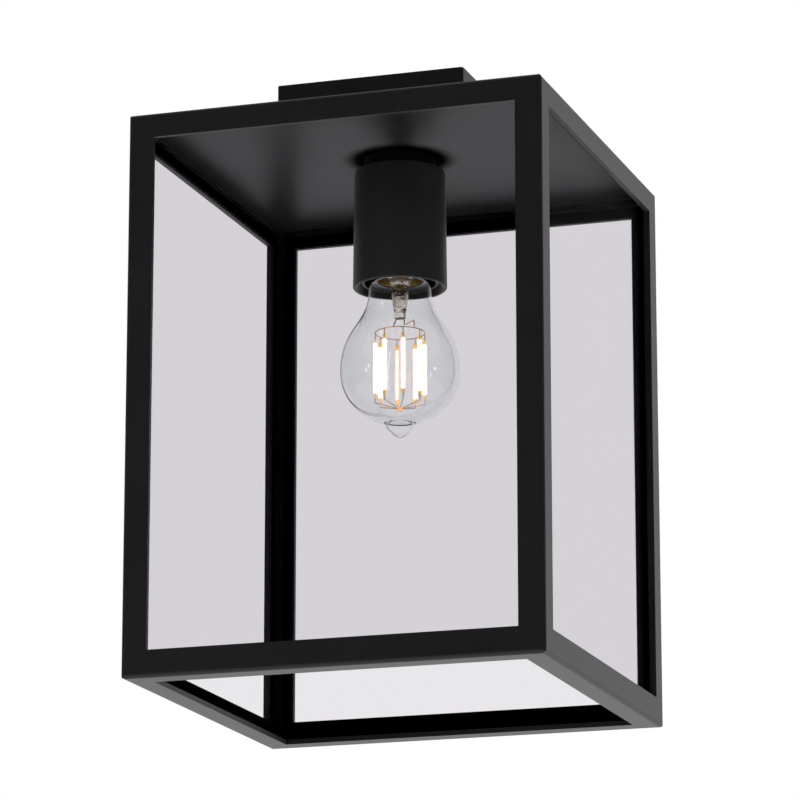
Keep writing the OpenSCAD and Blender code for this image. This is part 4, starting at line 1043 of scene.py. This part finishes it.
def globe_outline(inset):
    """The lamp's pear-shaped outline from the seal down to the tip, inset by the wall where
    asked."""
    flank = cubic((neck_r, neck_z), (neck_r, neck_z - 20.2), (widest_r, widest_z + 22.6),
                  (widest_r, widest_z), 40)
    bowl = cubic((widest_r, widest_z), (widest_r, widest_z - 16.9),
                 (tip_base[0] + 9.0, tip_base[1] + 2.5), tip_base, 40)
    tip = cubic(tip_base, (tip_base[0] + 0.2, tip_base[1] - 3.2), (5.6, tip_z + 3.4),
                cone_foot, 10)
    end = cubic(cone_foot, (2.4, tip_z + 1.0), (1.6, tip_z), (0, tip_z), 8)
    path = flank + bowl[1:] + tip[1:] + end[1:]
    outline = [(seal_r - inset, seal_z), (seal_r - inset, neck_z + neck_shoulder_r - inset)]
    outline += arc((neck_r - neck_shoulder_r, neck_z), neck_shoulder_r - inset, 80, 4, 10)
    for i, (r, z) in enumerate(path):
        ahead = path[min(i + 1, len(path) - 1)]
        behind = path[max(i - 1, 0)]
        across, along = (a - b for a, b in zip(ahead, behind))
        run = math.hypot(across, along)
        outline.append((max(0.0, r + inset * along / run), z - inset * across / run))
    outline[-1] = (0, tip_z + inset)
    return outline


envelope = turned("lamp_envelope_blown", globe_outline(0) + globe_outline(glass_t)[::-1], 160,
                  60)
settle(envelope, blown_glass, "lamp", "lamp_glass", "lamp_envelope")

# ---- Glass stem ----
# A flared glass tube is sealed into the neck and pinched flat at its foot, where the two
# lead wires come through. Gas was pumped out along it.

# worked in the flame, the stem is wavy and very slightly warm in tone
stem_glass, tree = new_material("clear stem glass")
surface(tree, 0.3, cloudy(tree, 2.0, 0.0, 1.0), Roughness=0.02, IOR=1.45,
        Base_Color=cloudy(tree, 5.0, "#F0E6DA", "#FAF5EE"), Transmission_Weight=1.0)
stem_low, stem_high = corners("lamp_stem")
pinch_z = stem_low.z
collar_r = stem_high.x
stem_top_r = 4.2
stem_foot_r = 3.2
stem_wall = 0.8
stem_bore_r = stem_top_r - stem_wall
stem_neck_z = rim - 9
flare_z = stem_neck_z + 6
stem = turned("lamp_stem_pinched", [
    (collar_r, seal_z), (collar_r, seal_z - 1.5),
    *cubic((collar_r - 1.5, seal_z - 3), (stem_top_r + 1, seal_z - 3.7), (stem_top_r, flare_z),
           (stem_top_r, stem_neck_z), 16),
    *arc((stem_foot_r - 1.2, pinch_z + 4.6), 1.2, 0, -90, 6),
    (0, pinch_z + 3.4), (0, pinch_z + 5), (stem_foot_r - stem_wall, pinch_z + 6),
    (stem_bore_r, stem_neck_z), (stem_bore_r, flare_z), (collar_r - 2.2, seal_z - 1.5),
    (collar_r - 2.2, seal_z)], 96, 60)
pinch_x, pinch_y, pinch_h = 2.7, 1.6, 4
pinch = block("stem_pinch", (-pinch_x, -pinch_y, pinch_z),
              (pinch_x, pinch_y, pinch_z + pinch_h), 0.9)
settle(carved(stem, pinch, "UNION"), stem_glass, "lamp", "stem_glass", "lamp_stem")

# ---- Wires in the lamp ----
# Two nickel-plated lead wires run from the pinch to a wire ring. A short drop goes from the
# ring to each filament, and a star of wires joins the filaments' feet at the bead.

# thin plated wire, its colour tinted warm pink as a painted reflection of the filaments
nickel_wire = clouded("nickel-plated wire tinted with a painted warm reflection", (0.25, 0.004), (1.5, "#D8C2B6", "#E8D4C8"),
                      (0.5, 0.3, 0.42), Metallic=0.35)
ring_r = 12.4
ring_wire_r = 0.3
drop_wire_r = 0.25
arm_wire_r = 0.26
ring_low, ring_high = corners("lamp_upper_ring")
ring_z = ring_high.z - ring_wire_r


def on_ring(degrees, z):
    """A point on the filaments' circle."""
    a = math.radians(degrees)
    return ring_r * math.cos(a), ring_r * math.sin(a), z


filament_count = 8
first_filament = 25.3
filament_spots = [on_ring(first_filament + 360 * i / filament_count, 0)
                  for i in range(filament_count)]
wire_spread = 2.2
lead_top = pinch_z - 0.3
left_foot, right_foot = (on_ring(degrees, ring_z + 0.7) for degrees in (273, 322))
knee_z = right_foot[2] + 3.2
left_wire = wire("left_lead_wire", [(-wire_spread, 0, lead_top), left_foot], ring_wire_r,
                 nickel_wire)
right_wire = wire("right_lead_wire", [
    (wire_spread, 0, lead_top), (wire_spread + 0.4, -0.4, knee_z), (*right_foot[:2], knee_z),
    right_foot], ring_wire_r, nickel_wire, bend_mm=0.7)
settle(joined("lamp_lead_wires_bent", left_wire, right_wire), nickel_wire, "lamp",
       "nickel_wire", "lamp_lead_wires")

ring = wire("ring", [on_ring(degrees, ring_z) for degrees in range(0, 360, 5)], ring_wire_r,
            nickel_wire, around=12, closed=True)
drop = wire("drop", [(0, 0, ring_z), (0, 0, ring_low.z)], drop_wire_r, nickel_wire, around=12)
drops = placed("drops", drop, filament_spots, nickel_wire)
settle(joined("lamp_upper_ring_welded", ring, drops), nickel_wire, "lamp", "nickel_wire",
       "lamp_upper_ring")

star_top = corners("lamp_lower_star")[1].z
star_z = star_top - 2.2
bead_low, bead_high = corners("lamp_bead")
bead_z = (bead_low.z + bead_high.z) / 2
bead_r = bead_high.x
hub_share = (bead_r + 0.02) / math.hypot(ring_r, star_z - bead_z)
arm_end = ((hub_share - 1) * ring_r, 0, bead_z + (star_z - bead_z) * hub_share)
arm = wire("arm", [(0, 0, star_top), (0, 0, star_z), arm_end], arm_wire_r, nickel_wire,
           bend_mm=0.5, around=12)
settle(placed("lamp_lower_star_bent", arm, filament_spots, nickel_wire, outwards=True),
       nickel_wire, "lamp", "nickel_wire", "lamp_lower_star")

# the bead is melted amber glass, slightly drawn out where the wires enter
amber, tree = new_material("amber glass bead")
# its emission is a painted glow, standing for the filaments' light on the bead
surface(tree, Base_Color=cloudy(tree, 1.5, "#F2C890", "#FADCB0"), Roughness=0.05, IOR=1.5,
        Transmission_Weight=0.5, Emission_Color=linear("#F6C890"), Emission_Strength=0.4)
bead = turned("lamp_bead_melted", [
    (bead_r * math.cos(a) * (1 - 0.08 * math.sin(a)), bead_z + bead_r * math.sin(a))
    for a in (math.radians(-90 + 10 * i) for i in range(19))], 32, 60)
settle(bead, amber, "lamp", "amber_glass", "lamp_bead")

# ---- Filaments ----
# Eight thin strips of light-emitting diodes in a pale silicone coat stand in a ring. Gilt
# tabs at their ends are spot welded to the wires.

filament_low, filament_high = corners("lamp_filaments")
# lit diodes show as a white core
lit_core, tree = new_material("lit diode strip")
surface(tree, Base_Color=cloudy(tree, 1.2, "#FFF4EA", "#FFFFFF"), Roughness=0.6,
        Emission_Color=linear("#FFD6C0"), Emission_Strength=10.0)
# one strip faces away, and only its pale back shows
strip_back, tree = new_material("pale back of a diode strip")
surface(tree, Base_Color=cloudy(tree, 1.2, "#F0E6E2", "#F8F0EC"), Roughness=0.6,
        Emission_Color=linear("#FFF4F0"), Emission_Strength=1.0)
# the silicone round it is thin and warm, more orange at its edges
silicone, tree = new_material("phosphor silicone coat")
surface(tree, Base_Color=cloudy(tree, 1.0, "#F0C4B0", "#F6D2C0"), IOR=1.4, Alpha=0.45,
        Roughness=cloudy(tree, 0.6, 0.3, 0.45), Emission_Color=linear("#FFE4D4"),
        Emission_Strength=0.6)
core_r = 0.7
back_r = 0.5
coat_r = 1.1
core_line = [(0, 0, filament_low.z + 0.3), (0, 0, filament_high.z - 0.3)]
core = wire("core", core_line, core_r, lit_core)
back = wire("back_core", core_line, back_r, strip_back)
coat_line = [(0, 0, filament_low.z), (0, 0, filament_high.z)]
silicone_coat = wire("coat", coat_line, coat_r, silicone, around=20)
turned_away = filament_spots[2]
lit_spots = [spot for spot in filament_spots if spot != turned_away]
for name, strip, places, material in (
        ("lamp_filament_cores", core, lit_spots, lit_core),
        ("lamp_filament_back", back, [turned_away], strip_back),
        ("lamp_filament_coats", silicone_coat, filament_spots, silicone)):
    settle(placed(name, strip, places, material), material, "lamp", "filament_phosphor",
           "lamp_filaments")

# gilding is a soft warm yellow; its faint glow is painted light, an emission standing for the
# diodes' light beside it
gilt = clouded("gilt end tab", (0.3, 0.004), (1.0, "#EEC468", "#F8DA94"), (0.6, 0.28, 0.4),
               Metallic=0.2, Emission_Color=linear("#F4C868"), Emission_Strength=0.4)
tab_low, tab_high = corners("lamp_filament_tabs")
tab_x, tab_y, tab_ease = 0.35, 0.75, 0.12
upper_tab, lower_tab = (
    block("tab", (-tab_x, -tab_y, low), (tab_x, tab_y, high), tab_ease)
    for low, high in ((filament_high.z, tab_high.z), (tab_low.z, filament_low.z)))
tabs = placed("lamp_filament_tabs_pressed", joined("tab", upper_tab, lower_tab), filament_spots,
              gilt, outwards=True)
settle(tabs, gilt, "lamp", "gilt_tab", "lamp_filament_tabs")
